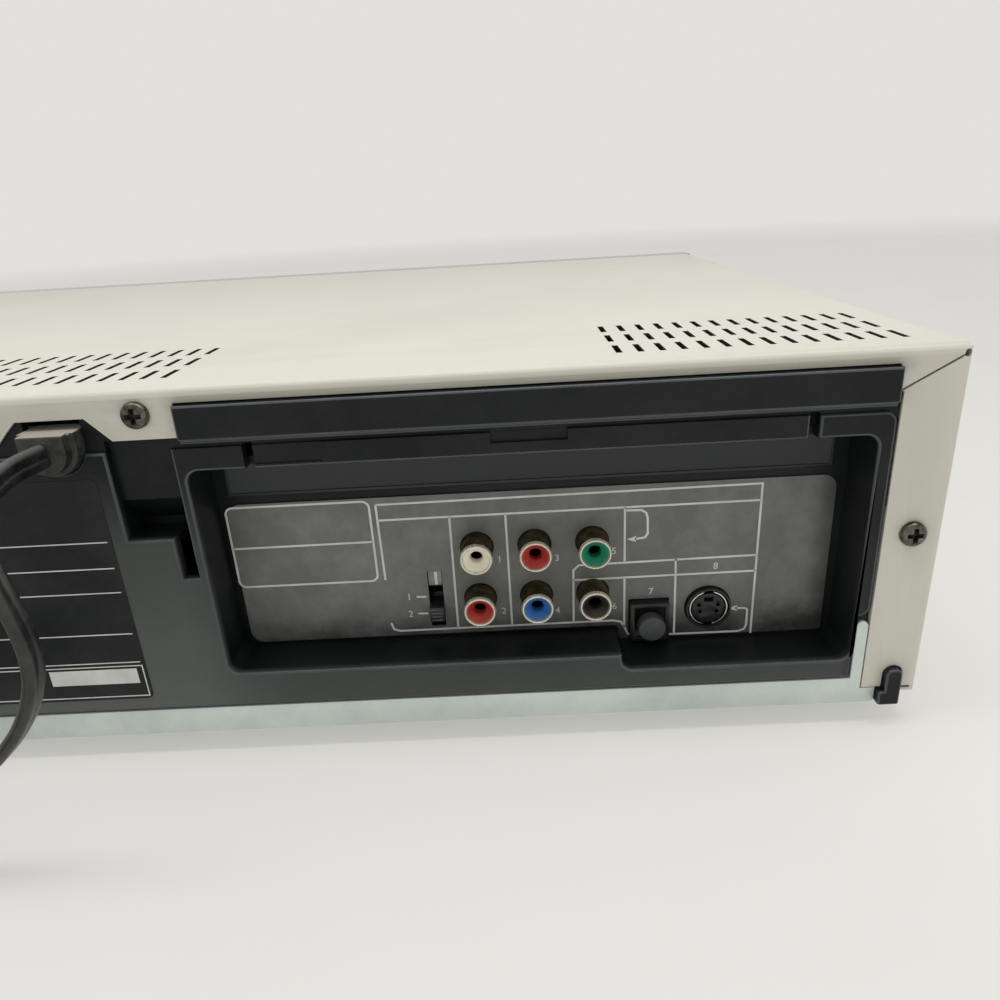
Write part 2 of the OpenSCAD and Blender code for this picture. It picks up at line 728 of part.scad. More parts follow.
module switch_knob() color("Black") {
    rear_block([switch_a - 1.9, switch_a + 1.9], [switch_b - 2.15, switch_b + 2.15], [-18.6, -11.8]);
    rear_block([switch_a - 1.9, switch_a + 1.9], [switch_b - 3.4, switch_b + 3.4], [-20.2, -18.5]);
}

module aerial_tuner() color("Silver") {
    difference() {
        span([tuner_a[0] - case_w / 2, tuner_y, board_z + board_t],
             [tuner_a[1] - case_w / 2, rear_y + back_wall_c - 0.2, tuner_top]);
        for (z = [24 : 8 : tuner_top - 8])
            span([tuner_a[0] - case_w / 2 - 1, tuner_y + 4, z],
                 [tuner_a[0] - case_w / 2 + 0.6, tuner_y + 16, z + 4]);
    }
    for (b = aerial_b) translate([aerial_a - case_w / 2, rear_y, flange_z + b]) rotate([-90, 0, 0]) {
        difference() {
            union() {
                translate([0, 0, back_wall_c - 0.5]) cylinder(h = -3.5 - back_wall_c, r = 4.3);
                for (c = [-12.6 : 1.6 : -5]) translate([0, 0, c]) cylinder(h = 0.8, r = 4.7);
                translate([0, 0, recess_back_c + plate_t]) cylinder(h = 2, r = 6.4, $fn = 6);
            }
            translate([0, 0, -12]) cylinder(h = 10, r = 2.2);
        }
    }
}

module jack_boards() color("DarkGreen") {
    difference() {
        union() {
            rear_block([21, 174], [7, 66], [board_c - board_t, board_c]);
            rear_block([av_a + 4, av_a + 52], [7, 60], [board_c - board_t, board_c]);
            // housings of the phono jacks
            for (a = [rca_a, rca_a + rca_pitch, rca_a + 2 * rca_pitch])
                rear_block([a - 5.8, a + 5.8], [rca_b - 6, rca_b + rca_pitch + 6],
                           [board_c, back_wall_c - 0.1]);
            for (a = [av_rca_a, av_rca_a + rca_pitch])
                rear_block([a - 5.8, a + 5.8], [av_b - 6, av_b + 2 * rca_pitch + 6],
                           [board_c, back_wall_c - 0.1]);
            rear_block([switch_a - 5, switch_a + 5], [switch_b - 8, switch_b + switch_travel + 9],
                       [board_c, back_wall_c - 0.1]);
        }
        for (p = rca_places) rear_rod(p[0], p[1], [board_c + 0.5, 0], rca_r + run_gap);
        // way of the switch's knob
        rear_block([switch_a - 2.1, switch_a + 2.1], [switch_b - 4.6, switch_b + switch_travel + 7],
                   [board_c, 0]);
        for (p = board_bosses) rear_rod(p[0], p[1], [board_c - 3, board_c + 0.5], 1.3);
    }
}

module strain_relief() color("Black") {
    // stepped block outside, neck in the panel's slot and flange inside
    relief_section(relief_half, [0.05, relief_out / 2]);
    relief_section(relief_half - 1.2, [relief_out / 2 - 0.1, relief_out]);
    relief_section(relief_half, [panel_c - wall - 0.3, 0.1]);
    relief_section(relief_half + 2, [panel_c - wall - 2.6, panel_c - wall - 0.05]);
}

// A slice of the strain relief: a flat top over a rounded underside.
module relief_section(half, c) {
    difference() {
        union() {
            rear_rod(relief_a, relief_b, c, half);
            rear_block([relief_a - half, relief_a + half], [relief_b, relief_top_b], c);
        }
        rear_block([relief_a - half - 1, relief_a + half + 1], [relief_top_b, relief_top_b + 9],
                   [c[0] - 1, c[1] + 1]);
    }
}

// ---------- mains lead ----------

function unit(v) = v / norm(v);
// points of the route with one more beyond each end, and a spline through them
function ends(p) = concat([2 * p[0] - p[1]], p, [2 * p[len(p) - 1] - p[len(p) - 2]]);
function spline(p, i, t) = (p[i] * pow(1 - t, 3) + p[i + 1] * (3 * t * t * t - 6 * t * t + 4)
    + p[i + 2] * (-3 * t * t * t + 3 * t * t + 3 * t + 1) + p[i + 3] * t * t * t) / 6;
function slope(p, i, t) = unit((p[i + 1] - p[i]) * pow(1 - t, 2)
    + (p[i + 2] - p[i + 1]) * (1 + 2 * t - 2 * t * t) + (p[i + 3] - p[i + 2]) * t * t);
// the wide side of a flat lead, kept square to its way
function square_to(v, way) = unit(v - way * (v * way));
function wide_sides(ways, v, i = 0) = i == len(ways) ? []
    : concat([square_to(v, ways[i])], wide_sides(ways, square_to(v, ways[i]), i + 1));

// A flat tube along a route; it rolls about its own line by turn from end to end.
module sweep(route, w, t, wide, turn, steps) {
    p = ends(route);
    n = len(route) - 1;
    at = [for (i = [0 : n - 1], k = [0 : steps - 1]) [i, k / steps]];
    marks = concat(at, [[n - 1, 1]]);
    middles = [for (m = marks) spline(p, m[0], m[1])];
    ways = [for (m = marks) slope(p, m[0], m[1])];
    sides = wide_sides(ways, wide);
    last = len(marks) - 1;
    ring = [[0.5, 0.2], [0.32, 0.5], [-0.32, 0.5], [-0.5, 0.2],
            [-0.5, -0.2], [-0.32, -0.5], [0.32, -0.5], [0.5, -0.2]];
    points = [for (j = [0 : last]) let (u = sides[j], v = cross(ways[j], u), a = turn * j / last)
        for (q = ring) middles[j] + (q[0] * w) * (u * cos(a) + v * sin(a))
            + (q[1] * t) * (v * cos(a) - u * sin(a))];
    faces = concat([[for (k = [0 : 7]) k]], [[for (k = [7 : -1 : 0]) last * 8 + k]],
        [for (j = [0 : last - 1], k = [0 : 7]) [j * 8 + k, (j + 1) * 8 + k,
            (j + 1) * 8 + (k + 1) % 8, j * 8 + (k + 1) % 8]]);
    polyhedron(points, faces);
}

module power_cord() color("Black") sweep(cord_route, cord_w, cord_t, [0, 0, 1], cord_turn, 5);

module cord_coil() color("Black") translate([coil_pos[0], coil_pos[1], 0.3]) rotate_extrude()
    translate([coil_r - coil_bundle / 2, 0]) rounded_rect(coil_bundle, coil_bundle, 3);

module plug() color("Black") translate([plug_pos[0], plug_pos[1], 0.3]) {
    difference() {
        span([0, -9, 0], [30, 9, 13]);
        for (s = [-1, 1]) translate([9, 15 * s, -1]) cylinder(h = 20, r = 8);
    }
    span([-8, -4, 3], [0.5, 4, 10]);
    // the lead, as it comes off the coil
    span([sqrt(2 * coil_out * cord_t - cord_t * cord_t) + 0.02 - 31, -cord_t / 2, 6.5 - cord_w / 2],
         [-7.5, cord_t / 2, 6.5 + cord_w / 2]);
    for (s = [-1, 1]) span([30, 6.35 * s - 0.75, 3.5], [46, 6.35 * s + 0.75, 9.8]);
}

// ---------- front ----------

// The front moulding as a solid with rounded edges, inset from its outer faces.
module front_form(inset, rear) {
    half = case_w / 2 - inset;
    front = front_y + inset;
    bottom = foot_h - 1 + inset;
    top = case_h - inset;
    r = 4 - inset;
    intersection() {
        translate([0, 0, bottom]) linear_extrude(top - bottom) {
            translate([r - half, front]) square([2 * half - 2 * r, rear - front]);
            translate([-half, front + r]) square([2 * half, rear - front - r]);
            for (x = [r - half, half - r]) translate([x, front + r]) circle(r);
        }
        rotate([90, 0, 90]) translate([0, 0, -half]) linear_extrude(2 * half) {
            translate([front, bottom + r]) square([rear - front, top - bottom - 2 * r]);
            translate([front + r, bottom]) square([rear - front - r, top - bottom]);
            for (z = [bottom + r, top - r]) translate([front + r, z]) circle(r);
        }
    }
}

module front_panel() color("DarkGray") {
    inner = front_y + front_wall;
    difference() {
        union() {
            difference() {
                front_form(0, cover_front - 0.1);
                front_form(front_wall, cover_front + 1);
            }
            // tunnel walls beside and under the cassette opening
            for (s = [-1, 1]) translate([deck_x + s * (door_w / 2 + 1.2), 0, 0])
                span([-1.2, front_y + 1, door_z - 2], [1.2, front_y + 13, door_z + door_h]);
            span([deck_x - door_w / 2, front_y + 1, door_z - 2],
                 [deck_x + door_w / 2, front_y + 13, door_z]);
            // posts for the front board
            for (p = front_bosses) y_rod(p[0], [inner - 1, front_board_y], p[1], 3);
            // tongues over the floor pan
            for (x = [-150, -50, 20, 140]) {
                span([x, front_y + 2, floor_z + 0.1], [x + 16, cover_front + 6, floor_z + 2]);
            }
            // a raised band across the face
            span([16 - case_w / 2, front_y - 0.8, 12], [case_w / 2 - 16, front_y + 1, 13.2]);
        }
        // tray slot
        span([loader_x - tray_face_half - 1, front_y - 2, tray_slot_z[0]],
             [loader_x + tray_face_half + 1, inner + 1, tray_slot_z[1]]);
        // cassette opening and the bores of the door's pins
        span([deck_x - door_w / 2, front_y - 2, door_z],
             [deck_x + door_w / 2, front_y + 17, door_z + door_h]);
        x_rod([deck_x - door_w / 2 - 3, deck_x + door_w / 2 + 3], door_axis_y, door_axis_z,
              door_pin_r + run_gap);
        // display window
        span([window_x - window_w / 2, front_y - 2, window_z],
             [window_x + window_w / 2, inner + 1, window_z + window_h]);
        for (k = keys) span([k[0] - k[2] / 2 - slip_gap, front_y - 2, k[1] - k[3] / 2 - slip_gap],
                            [k[0] + k[2] / 2 + slip_gap, inner + 1, k[1] + k[3] / 2 + slip_gap]);
        for (x = front_jacks) y_rod(x, [front_y - 2, inner + 1], front_jack_z, rca_r + slip_gap);
        for (p = front_bosses) y_rod(p[0], [front_board_y - 5, front_board_y + 1], p[1], 1.1);
    }
}

module display_window() color("Black") {
    inner = front_y + front_wall;
    span([window_x - window_w / 2 + 0.1, front_y - 0.4, window_z + 0.1],
         [window_x + window_w / 2 - 0.1, inner + 0.5, window_z + window_h - 0.1]);
    span([window_x - window_w / 2 - 2, inner, window_z - 2],
         [window_x + window_w / 2 + 2, inner + 1, window_z + window_h + 2]);
}

module cassette_door() color("DarkGray") {
    half = door_w / 2 - door_gap;
    difference() {
        span([deck_x - half, front_y, door_axis_z - door_reach],
             [deck_x + half, front_y + door_t, door_z + door_h - door_gap]);
        // finger groove
        span([deck_x - 40, front_y - 1, door_z + 5], [deck_x + 40, front_y + 0.8, door_z + 8]);
    }
    for (s = [-1, 1]) {
        // arm and its pin
        translate([deck_x + s * (half - 1.2), 0, 0])
            span([-1.2, front_y + 1, door_axis_z - 2.2], [1.2, door_axis_y + 2.2, door_axis_z + 2.2]);
        translate([deck_x, 0, 0]) mirror([s > 0 ? 0 : 1, 0, 0])
            x_rod([half - 0.5, door_w / 2 + 2.4], door_axis_y, door_axis_z, door_pin_r);
    }
}

module front_board() color("DarkGreen") {
    back = front_board_y + 1.6;
    span([-206, front_board_y, front_board_z[0]], [206, back, front_board_z[1]]);
    // tact switches behind the keys
    for (k = keys) {
        span([k[0] - 3, front_board_y - 4.3, k[1] - 3], [k[0] + 3, front_board_y, k[1] + 3]);
        y_rod(k[0], [front_board_y - 5.1, front_board_y - 4], k[1], 1.6);
    }
    // display tube and the block of the front jacks
    span([window_x - 50, front_board_y - 6.5, window_z + 2],
         [window_x + 50, front_board_y, window_z + window_h - 2]);
    difference() {
        span([front_jacks[0] - 6.5, front_y + front_wall + 0.3, front_jack_z - 7],
             [front_jacks[2] + 6.5, front_board_y, front_jack_z + 7]);
        for (x = front_jacks) y_rod(x, [front_y, front_board_y - 0.4], front_jack_z, rca_r + run_gap);
    }
}

// A key: cap through the panel, flange behind it and a stem to its switch.
module panel_key(k) {
    inner = front_y + front_wall;
    span([k[0] - k[2] / 2, front_y - 2, k[1] - k[3] / 2], [k[0] + k[2] / 2, inner + 1, k[1] + k[3] / 2]);
    span([k[0] - k[2] / 2 - 1.2, inner + slip_gap, k[1] - k[3] / 2 - 1.2],
         [k[0] + k[2] / 2 + 1.2, inner + 1.4, k[1] + k[3] / 2 + 1.2]);
    y_rod(k[0], [inner + 1, front_board_y - 5.3 - key_travel], k[1], 2);
}

module power_key() color("DarkGray") panel_key(key_power);
module open_key() color("DarkGray") panel_key(key_open);
module eject_key() color("DarkGray") panel_key(key_eject);
module dvd_play_key() color("DarkGray") panel_key(key_dvd_play);
module play_key() color("DarkGray") panel_key(key_play);
module stop_key() color("DarkGray") panel_key(key_stop);
module rewind_key() color("DarkGray") panel_key(key_rewind);
module forward_key() color("DarkGray") panel_key(key_forward);

// ---------- boards ----------

module circuit_boards() color("DarkGreen") {
    posts = concat(loader_posts, deck_posts);
    difference() {
        union() {
            span([main_x[0], board_y[0], board_z], [main_x[1], board_y[1], board_z + board_t]);
            span([side_x[0], board_y[0], board_z], [side_x[1], split_y - 2, board_z + board_t]);
            span([side_x[0], split_y + 2, board_z], [side_x[1], board_y[1], board_z + board_t]);
        }
        at_each(posts) translate([0, 0, board_z - 1]) cylinder(h = 4, r = post_r + loose_gap);
        at_each(board_posts) translate([0, 0, board_z - 1]) cylinder(h = 4, r = 1.4);
    }
}

// Transformer, capacitors, heat sink, chips and their sockets.
module circuit_parts() color("DimGray") {
    z = board_z + board_t;
    core_y = loader_post_y[1] - 42;
    difference() {
        translate([-196, core_y, z]) cube([34, 34, 26]);
        translate([-197, core_y + 6, z + 6]) cube([5, 22, 14]);
    }
    translate([-190, core_y - 5, z + 4]) cube([22, 42, 18]);
    for (p = [[-140, 94, 11, 26], [-112, 90, 9, 22], [-92, 96, 6, 16], [-96, 26, 6, 14],
              [-82, 40, 5, 12], [20, 70, 5, 10], [40, 96, 5, 10], [20, -90, 4, 9]])
        translate([p[0], p[1], z]) cylinder(h = p[3], r = p[2]);
    // finned heat sink
    span([-150, 30, z], [-110, 33, z + 30]);
    for (x = [-150 : 6 : -111]) span([x, 32, z], [x + 1.6, 44, z + 30]);
    for (c = [[-150, -70, 28, 28], [-108, -84, 14, 22], [-180, -40, 12, 18], [-44, -60, 22, 22],
              [30, -60, 30, 20], [90, 84, 22, 22], [60, -20, 16, 24]])
        translate([c[0], c[1], z]) cube([c[2], c[3], 2.4]);
    // sockets for the flat cables
    for (c = [[-196, -24, 26], [-110, -12, 30], [-50, 20, 26], [18, -112, 34], [140, -112, 34]])
        translate([c[0], c[1], z]) cube([c[2], 5, 7]);
}

module drive_motors() color("Silver") {
    // loading motor, hung under the loader's floor
    translate([motor_pos[0], motor_pos[1], 0]) {
        translate([0, 0, 42]) cylinder(h = loader_floor_z - 42, r = 11);
        translate([0, 0, 50]) cylinder(h = pulley_z + 5 - 50, r = 1);
        translate([0, 0, 40]) cylinder(h = 3, r = 4);
    }
    // capstan motor: flat plate with its coils below the flywheel
    difference() {
        union() {
            translate([capstan_pos[0], capstan_pos[1], 24]) cylinder(h = 1.2, r = 34);
            for (a = [20, 140, 260]) translate([capstan_pos[0], capstan_pos[1], 0]) rotate(a)
                translate([30, 0, 24]) cylinder(h = deck_z - 24, r = 2.6);
            for (a = [0 : 60 : 300]) translate([capstan_pos[0], capstan_pos[1], 25]) rotate(a)
                translate([14, 0, 0]) cylinder(h = 1.4, r = 4.5);
        }
        translate([capstan_pos[0], capstan_pos[1], 23]) cylinder(h = 5, r = 2);
    }
}

// ---------- DVD loader ----------

module loader_frame() color("DimGray") translate([loader_x, 0, 0]) {
    groove_z = [tray_z - slip_gap, tray_z + 3 + slip_gap];
    difference() {
        union() {
            span([-loader_wall[1], loader_y[0], loader_floor_z],
                 [loader_wall[1], loader_y[1], loader_floor_z + wall]);
            both_sides() span([-loader_wall[1], loader_y[0], loader_floor_z],
                              [-loader_wall[0], loader_y[1], wall_top_z]);
            span([-loader_wall[1], loader_y[1] - 4, loader_floor_z],
                 [loader_wall[1], loader_y[1], tray_z - 1]);
            // feet on the posts
            for (x = [-70, 70], y = loader_post_y) translate([x, y, loader_foot_z])
                cylinder(h = loader_floor_z - loader_foot_z + 1, r = post_r);
            // ears of the traverse's pivot
            both_sides() span([-pivot_dx - 4, pivot_y - 4, loader_floor_z],
                              [-pivot_dx, pivot_y + 4, pivot_z + 3.5]);
        }
        // opening under the traverse
        span([-traverse_half - 1, traverse_y[0] - 2, 0], [traverse_half + 1, traverse_y[1] + 3, 62]);
        both_sides() {
            // groove of the tray's rail, and the hollow outside of the wall
            span([-loader_wall[0] - 1, loader_y[0] - 1, groove_z[0]],
                 [2.5 - loader_wall[0], loader_y[1] + 1, groove_z[1]]);
            span([-loader_wall[0] - 2.9, loader_y[0] - 1, groove_z[0]],
                 [-loader_wall[0] + 1, loader_y[1] - 6, groove_z[1]]);
            span([-loader_wall[1] - 1, loader_y[0] + 22, loader_floor_z + 3],
                 [-loader_wall[0] - 5, loader_y[1] - 14, wall_top_z - 3]);
            x_rod([-pivot_dx - 5, 1 - pivot_dx], pivot_y, pivot_z, pivot_r + run_gap);
        }
        // shaft of the loading motor
        translate([motor_pos[0] - loader_x, motor_pos[1], 50]) cylinder(h = 20, r = 1.6);
    }
    // pins of the tray gear
    translate([gear_pos[0] - loader_x, gear_pos[1], loader_floor_z])
        cylinder(h = gear_z + 2.8 - loader_floor_z, r = 1.5);
}

// Tray with its rails, disc recesses, face and rack.
module disc_tray() color("DarkGray") translate([loader_x, 0, 0]) {
    half = tray_w / 2;
    rear = tray_front + tray_len;
    top = tray_z + tray_t;
    difference() {
        union() {
            span([-half, tray_front, tray_z], [half, rear, top]);
            both_sides() span([-half - 5, tray_front + 4, tray_z], [1 - half, rear, tray_z + 3]);
        }
        // recesses of the two sizes of disc
        translate([0, disc_y, top - 2.2]) cylinder(h = 9, r = disc_r);
        translate([0, disc_y, top - 3.2]) cylinder(h = 9, r = 40.5);
        // way of the turntable and the pickup, open to the rear
        translate([0, disc_y, tray_z - 1]) cylinder(h = 20, r = slot_half);
        span([-slot_half, disc_y, tray_z - 1], [slot_half, rear + 1, top + 1]);
        // hollows for the fingers
        both_sides() translate([-disc_r, disc_y, tray_z + 1.2]) cylinder(h = 9, r = 7);
    }
    // face
    difference() {
        span([-tray_face_half, front_y, tray_face_z[0]], [tray_face_half, tray_front + 0.1, tray_face_z[1]]);
        span([-tray_face_half + 4, front_y + 1.4, tray_face_z[0] - 1],
             [tray_face_half - 4, tray_front - 0.8, tray_z - 1]);
    }
    rack();
}

// The rack under the tray, its teeth turned to the gear.
module rack() {
    pitch = PI * gear_m;
    first = gear_pos[1] - 3 * pitch;
    teeth = ceil(tray_travel / pitch) + 4;
    tip = 0.9 * gear_m;
    root = 1.15 * gear_m;
    translate([rack_dx, first, gear_z - 0.2]) linear_extrude(tray_z - gear_z + 0.3) {
        translate([-6, 0]) square([6 - root, teeth * pitch]);
        for (i = [0 : teeth - 1]) translate([0, (i + 0.5) * pitch])
            polygon([[-root - 0.2, -pitch / 4 - root * tan(20) + 0.1],
                     [tip, -pitch / 4 + tip * tan(20) + 0.1],
                     [tip, pitch / 4 - tip * tan(20) - 0.1],
                     [-root - 0.2, pitch / 4 + root * tan(20) - 0.1]]);
    }
}

// A point of an involute from a base circle, unrolled by t degrees.
function involute(r, t) = r * [cos(t) + PI * t / 180 * sin(t), sin(t) - PI * t / 180 * cos(t)];
function turned(p, a) = [p[0] * cos(a) - p[1] * sin(a), p[0] * sin(a) + p[1] * cos(a)];

module gear_outline() {
    base = gear_r * cos(20);
    root = gear_r - 1.15 * gear_m;
    outer = gear_r + 0.9 * gear_m;
    reach = sqrt(outer * outer / base / base - 1) * 180 / PI;
    // half the tooth at the base circle, with the play taken off
    half = 90 / gear_teeth + (tan(20) * 180 / PI - 20) - 0.1 / gear_r * 180 / PI;
    flank = [for (k = [0 : 4]) turned(involute(base, reach * k / 4), -half)];
    flip = [for (k = [4 : -1 : 0]) [flank[k][0], -flank[k][1]]];
    circle(root);
    for (i = [0 : gear_teeth - 1]) rotate(i * 360 / gear_teeth)
        polygon(concat([turned([root - 0.3, 0], -half)], flank, flip, [turned([root - 0.3, 0], half)]));
}

module tray_gear() color("White") translate([gear_pos[0], gear_pos[1], 0]) {
    difference() {
        union() {
            translate([0, 0, gear_z]) linear_extrude(2.6) rotate(gear_phase) gear_outline();
            translate([0, 0, loader_floor_z + wall + 0.3])
                cylinder(h = gear_z - loader_floor_z - wall, r = 4);
            // grooved rim for the belt
            translate([0, 0, pulley_z]) cylinder(h = 1, r = pulley_r + 1.2);
            translate([0, 0, pulley_z + 0.5]) cylinder(h = 3, r = pulley_r);
            translate([0, 0, pulley_z + 3.2]) cylinder(h = 1, r = pulley_r + 1.2);
        }
        translate([0, 0, loader_floor_z]) cylinder(h = 30, r = 1.5 + run_gap);
    }
}

module motor_pulley() color("White") translate([motor_pos[0], motor_pos[1], 0]) difference() {
    union() {
        translate([0, 0, pulley_z]) cylinder(h = 1, r = motor_pulley_r + 1);
        translate([0, 0, pulley_z + 0.5]) cylinder(h = 3, r = motor_pulley_r);
        translate([0, 0, pulley_z + 3.2]) cylinder(h = 1, r = motor_pulley_r + 1);
        translate([0, 0, loader_floor_z + wall + 0.3]) cylinder(h = 3, r = 2.4);
    }
    translate([0, 0, loader_floor_z]) cylinder(h = 30, r = 1 + run_gap);
}

// The outline round two pulleys, as far out as the given amount.
module belt_outline(out) {
    run = motor_pos[0] - gear_pos[0];
    r0 = pulley_r + out;
    r1 = motor_pulley_r + out;
    a = acos((r0 - r1) / run);
    circle(r0);
    translate([run, 0]) circle(r1);
    polygon([r0 * [cos(a), sin(a)], r0 * [cos(a), -sin(a)],
             [run, 0] + r1 * [cos(a), -sin(a)], [run, 0] + r1 * [cos(a), sin(a)]]);
}

module drive_belt() color("Black") translate([gear_pos[0], gear_pos[1], pulley_z + 1.2])
    linear_extrude(1.8) difference() {
        belt_outline(1 + run_gap);
        belt_outline(run_gap);
    }

module traverse() color("DimGray") translate([loader_x, 0, 0]) {
    z = [traverse_z, traverse_z + 2.5];
    sled_way = [sled_y[0] - 4, sled_y[1] + sled_travel + 4];
    difference() {
        union() {
            span([-traverse_half, traverse_y[0], z[0]], [traverse_half, traverse_y[1], z[1]]);
            // ends that hold the slide rods
            both_sides() for (y = [sled_way[0] - 5, sled_way[1]])
                span([-rod_dx - 4, y, z[0]], [4 - rod_dx, y + 5, rod_z + 3]);
        }
        // way of the pickup
        span([2 - rod_dx, sled_way[0], 0], [rod_dx - 2, sled_way[1], 99]);
        span([-rod_dx - 5, sled_way[0], z[0] + 1.2], [rod_dx + 5, sled_way[1], 99]);
        translate([0, disc_y, 0]) cylinder(h = 99, r = 3);
    }
    both_sides() {
        x_rod([-pivot_dx - 3.6, 1 - traverse_half], pivot_y, pivot_z, pivot_r);
        y_rod(-rod_dx, [sled_way[0] - 5, sled_way[1] + 5], rod_z, rod_r);
    }
    // spindle motor
    translate([0, disc_y, 0]) {
        tube(13, 1.5 + run_gap, [traverse_z - 5, traverse_z + 0.1]);
        tube(8, 1.5 + run_gap, [traverse_z, traverse_z + 6]);
        translate([0, 0, traverse_z - 6]) cylinder(h = 1.2, r = 10);
    }
}

module turntable() color("DarkGray") translate([loader_x, disc_y, 0]) {
    translate([0, 0, traverse_z - 4.4]) cylinder(h = table_top_z - traverse_z + 4, r = 1.5);
    translate([0, 0, table_top_z - 3]) cylinder(h = 3, r = 13);
    translate([0, 0, table_top_z - 8]) cylinder(h = 6, r = 5);
    translate([0, 0, table_top_z]) cylinder(h = 1.6, r = 7.4);
    translate([0, 0, table_top_z + 1.6]) cylinder(h = 1.4, r1 = 7.4, r2 = 5.6);
}

module pickup_sled() color("DarkSlateGray") translate([loader_x, 0, 0]) {
    difference() {
        union() {
            span([-rod_dx + 4, sled_y[0], rod_z - 3], [rod_dx - 4, sled_y[1], rod_z + 4]);
            both_sides() y_rod(-rod_dx, sled_y, rod_z, 3);
            both_sides() span([-rod_dx, sled_y[0], rod_z - 2], [6 - rod_dx, sled_y[1], rod_z + 2]);
            translate([0, lens_y, rod_z + 3]) cylinder(h = 3, r = 6);
            translate([0, lens_y, rod_z + 5]) cylinder(h = 1.8, r1 = 4, r2 = 3.4);
        }
        both_sides() y_rod(-rod_dx, [sled_y[0] - 1, sled_y[1] + 1], rod_z, rod_r + run_gap);
        // hollow under the optics
        span([-18, sled_y[0] + 4, rod_z - 9], [18, sled_y[1] - 4, rod_z + 1]);
    }
}

module clamp_bridge() color("Silver") translate([loader_x, disc_y, 0]) {
    difference() {
        union() {
            span([-loader_wall[1] + 1, -14, bridge_z], [loader_wall[1] - 1, 14, bridge_z + 1.5]);
            translate([0, 0, bridge_z]) cylinder(h = 1.5, r = 18);
            both_sides() {
                span([1 - loader_wall[1], -14, wall_top_z], [2.5 - loader_wall[1], 14, bridge_z + 1]);
                span([1 - loader_wall[1], -14, wall_top_z], [-loader_wall[0] - 0.5, 14, wall_top_z + 1.2]);
            }
        }
        translate([0, 0, bridge_z - 1]) cylinder(h = 4, r = 10);
    }
}

// Disc clamp, hung in the bridge by its neck.
module clamper() color("White") translate([loader_x, disc_y, 0]) {
    z = tray_z + 8.2;
    difference() {
        union() {
            translate([0, 0, z]) cylinder(h = 2, r = 14);
            translate([0, 0, z + 1]) cylinder(h = bridge_z + 2 - z, r = 9.5);
            translate([0, 0, bridge_z + 1.8]) cylinder(h = 1.2, r = 12.5);
        }
        translate([0, 0, z - 1]) cylinder(h = 3, r = 8);
    }
}

// ---------- tape deck ----------

module deck_plate() color("Silver") {
    z = [deck_z, deck_top];
    x0 = deck_x - deck_half;
    x1 = deck_x + deck_half;
    difference() {
        union() {
            span([x0, deck_y[0], z[0]], [x1, deck_y[1], z[1]]);
            translate([deck_x, 0, 0]) both_sides()
                span([-deck_half, deck_y[0] + 2, z[0]], [-guide_in, 40, deck_z + 50]);
            // bearing of the capstan
            translate([capstan_pos[0], capstan_pos[1], z[0] - 2]) cylinder(h = 12, r = 4);
            // pins of the reels, the idler and the pinch arm
            for (s = [-1, 1]) translate([deck_x + s * reel_dx, reel_y, z[0]])
                cylinder(h = 11.5, r = reel_pin_r);
            translate([idler_pivot[0], idler_pivot[1], z[0]]) cylinder(h = 4.6, r = 1.5);
            translate([pinch_pivot[0], pinch_pivot[1], z[0]]) cylinder(h = 13.5, r = 3);
            translate([pinch_pivot[0], pinch_pivot[1], z[0]]) cylinder(h = 9.6, r = 4.5);
            // seats of the idler and the reels
            translate([idler_pivot[0], idler_pivot[1], z[0]]) cylinder(h = 1.4, r = 3);
            for (s = [-1, 1]) translate([deck_x + s * reel_dx, reel_y, z[0]]) cylinder(h = 2.7, r = 4);
        }
        // slots for the carriage's studs
        for (y = [carriage_studs[0] - 0.2, carriage_studs[1] + basket_run + 0.2])
            x_rod([x0 - 1, x1 + 1], y, stud_z, stud_r + run_gap);
        translate([x0 - 1, carriage_studs[0] - 0.2, stud_z - stud_r - run_gap])
            cube([2 * deck_half + 2, carriage_studs[1] - carriage_studs[0] + basket_run + 0.4,
                  2 * (stud_r + run_gap)]);
        translate([capstan_pos[0], capstan_pos[1], 0]) cylinder(h = 99, r = capstan_r + run_gap);
        at_each(deck_posts) cylinder(h = 99, r = 1.6);
        // openings in the plate
        span([deck_x - 30, -100, 0], [deck_x + 30, -60, 50]);
        for (s = [-1, 1]) span([deck_x + s * 70 - 12, -96, 0], [deck_x + s * 70 + 12, -58, 50]);
    }
}

module basket_carriage() color("Gainsboro") translate([deck_x, 0, 0]) {
    y = [basket_y[0] + 1, basket_y[1] - 1];
    x = [carriage_in, carriage_in + carriage_t];
    difference() {
        both_sides() span([x[0], y[0], deck_z + 14], [x[1], y[1], deck_z + 50.2]);
        // slots for the pins of the basket
        both_sides() for (p = basket_pins) {
            x_rod([x[0] - 1, x[1] + 1], p, pin_z + 0.1, stud_r + run_gap);
            x_rod([x[0] - 1, x[1] + 1], p, pin_z - basket_drop - 0.1, stud_r + run_gap);
            span([x[0] - 1, p - stud_r - run_gap, pin_z - basket_drop - 0.1],
                 [x[1] + 1, p + stud_r + run_gap, pin_z + 0.1]);
        }
    }
    both_sides() for (p = carriage_studs) x_rod([x[0] + 0.5, deck_half + 0.7], p, stud_z, stud_r);
    // bar that joins the sides
    span([-x[1], -74, deck_z + 49], [x[1], -62, deck_z + 50.2]);
}

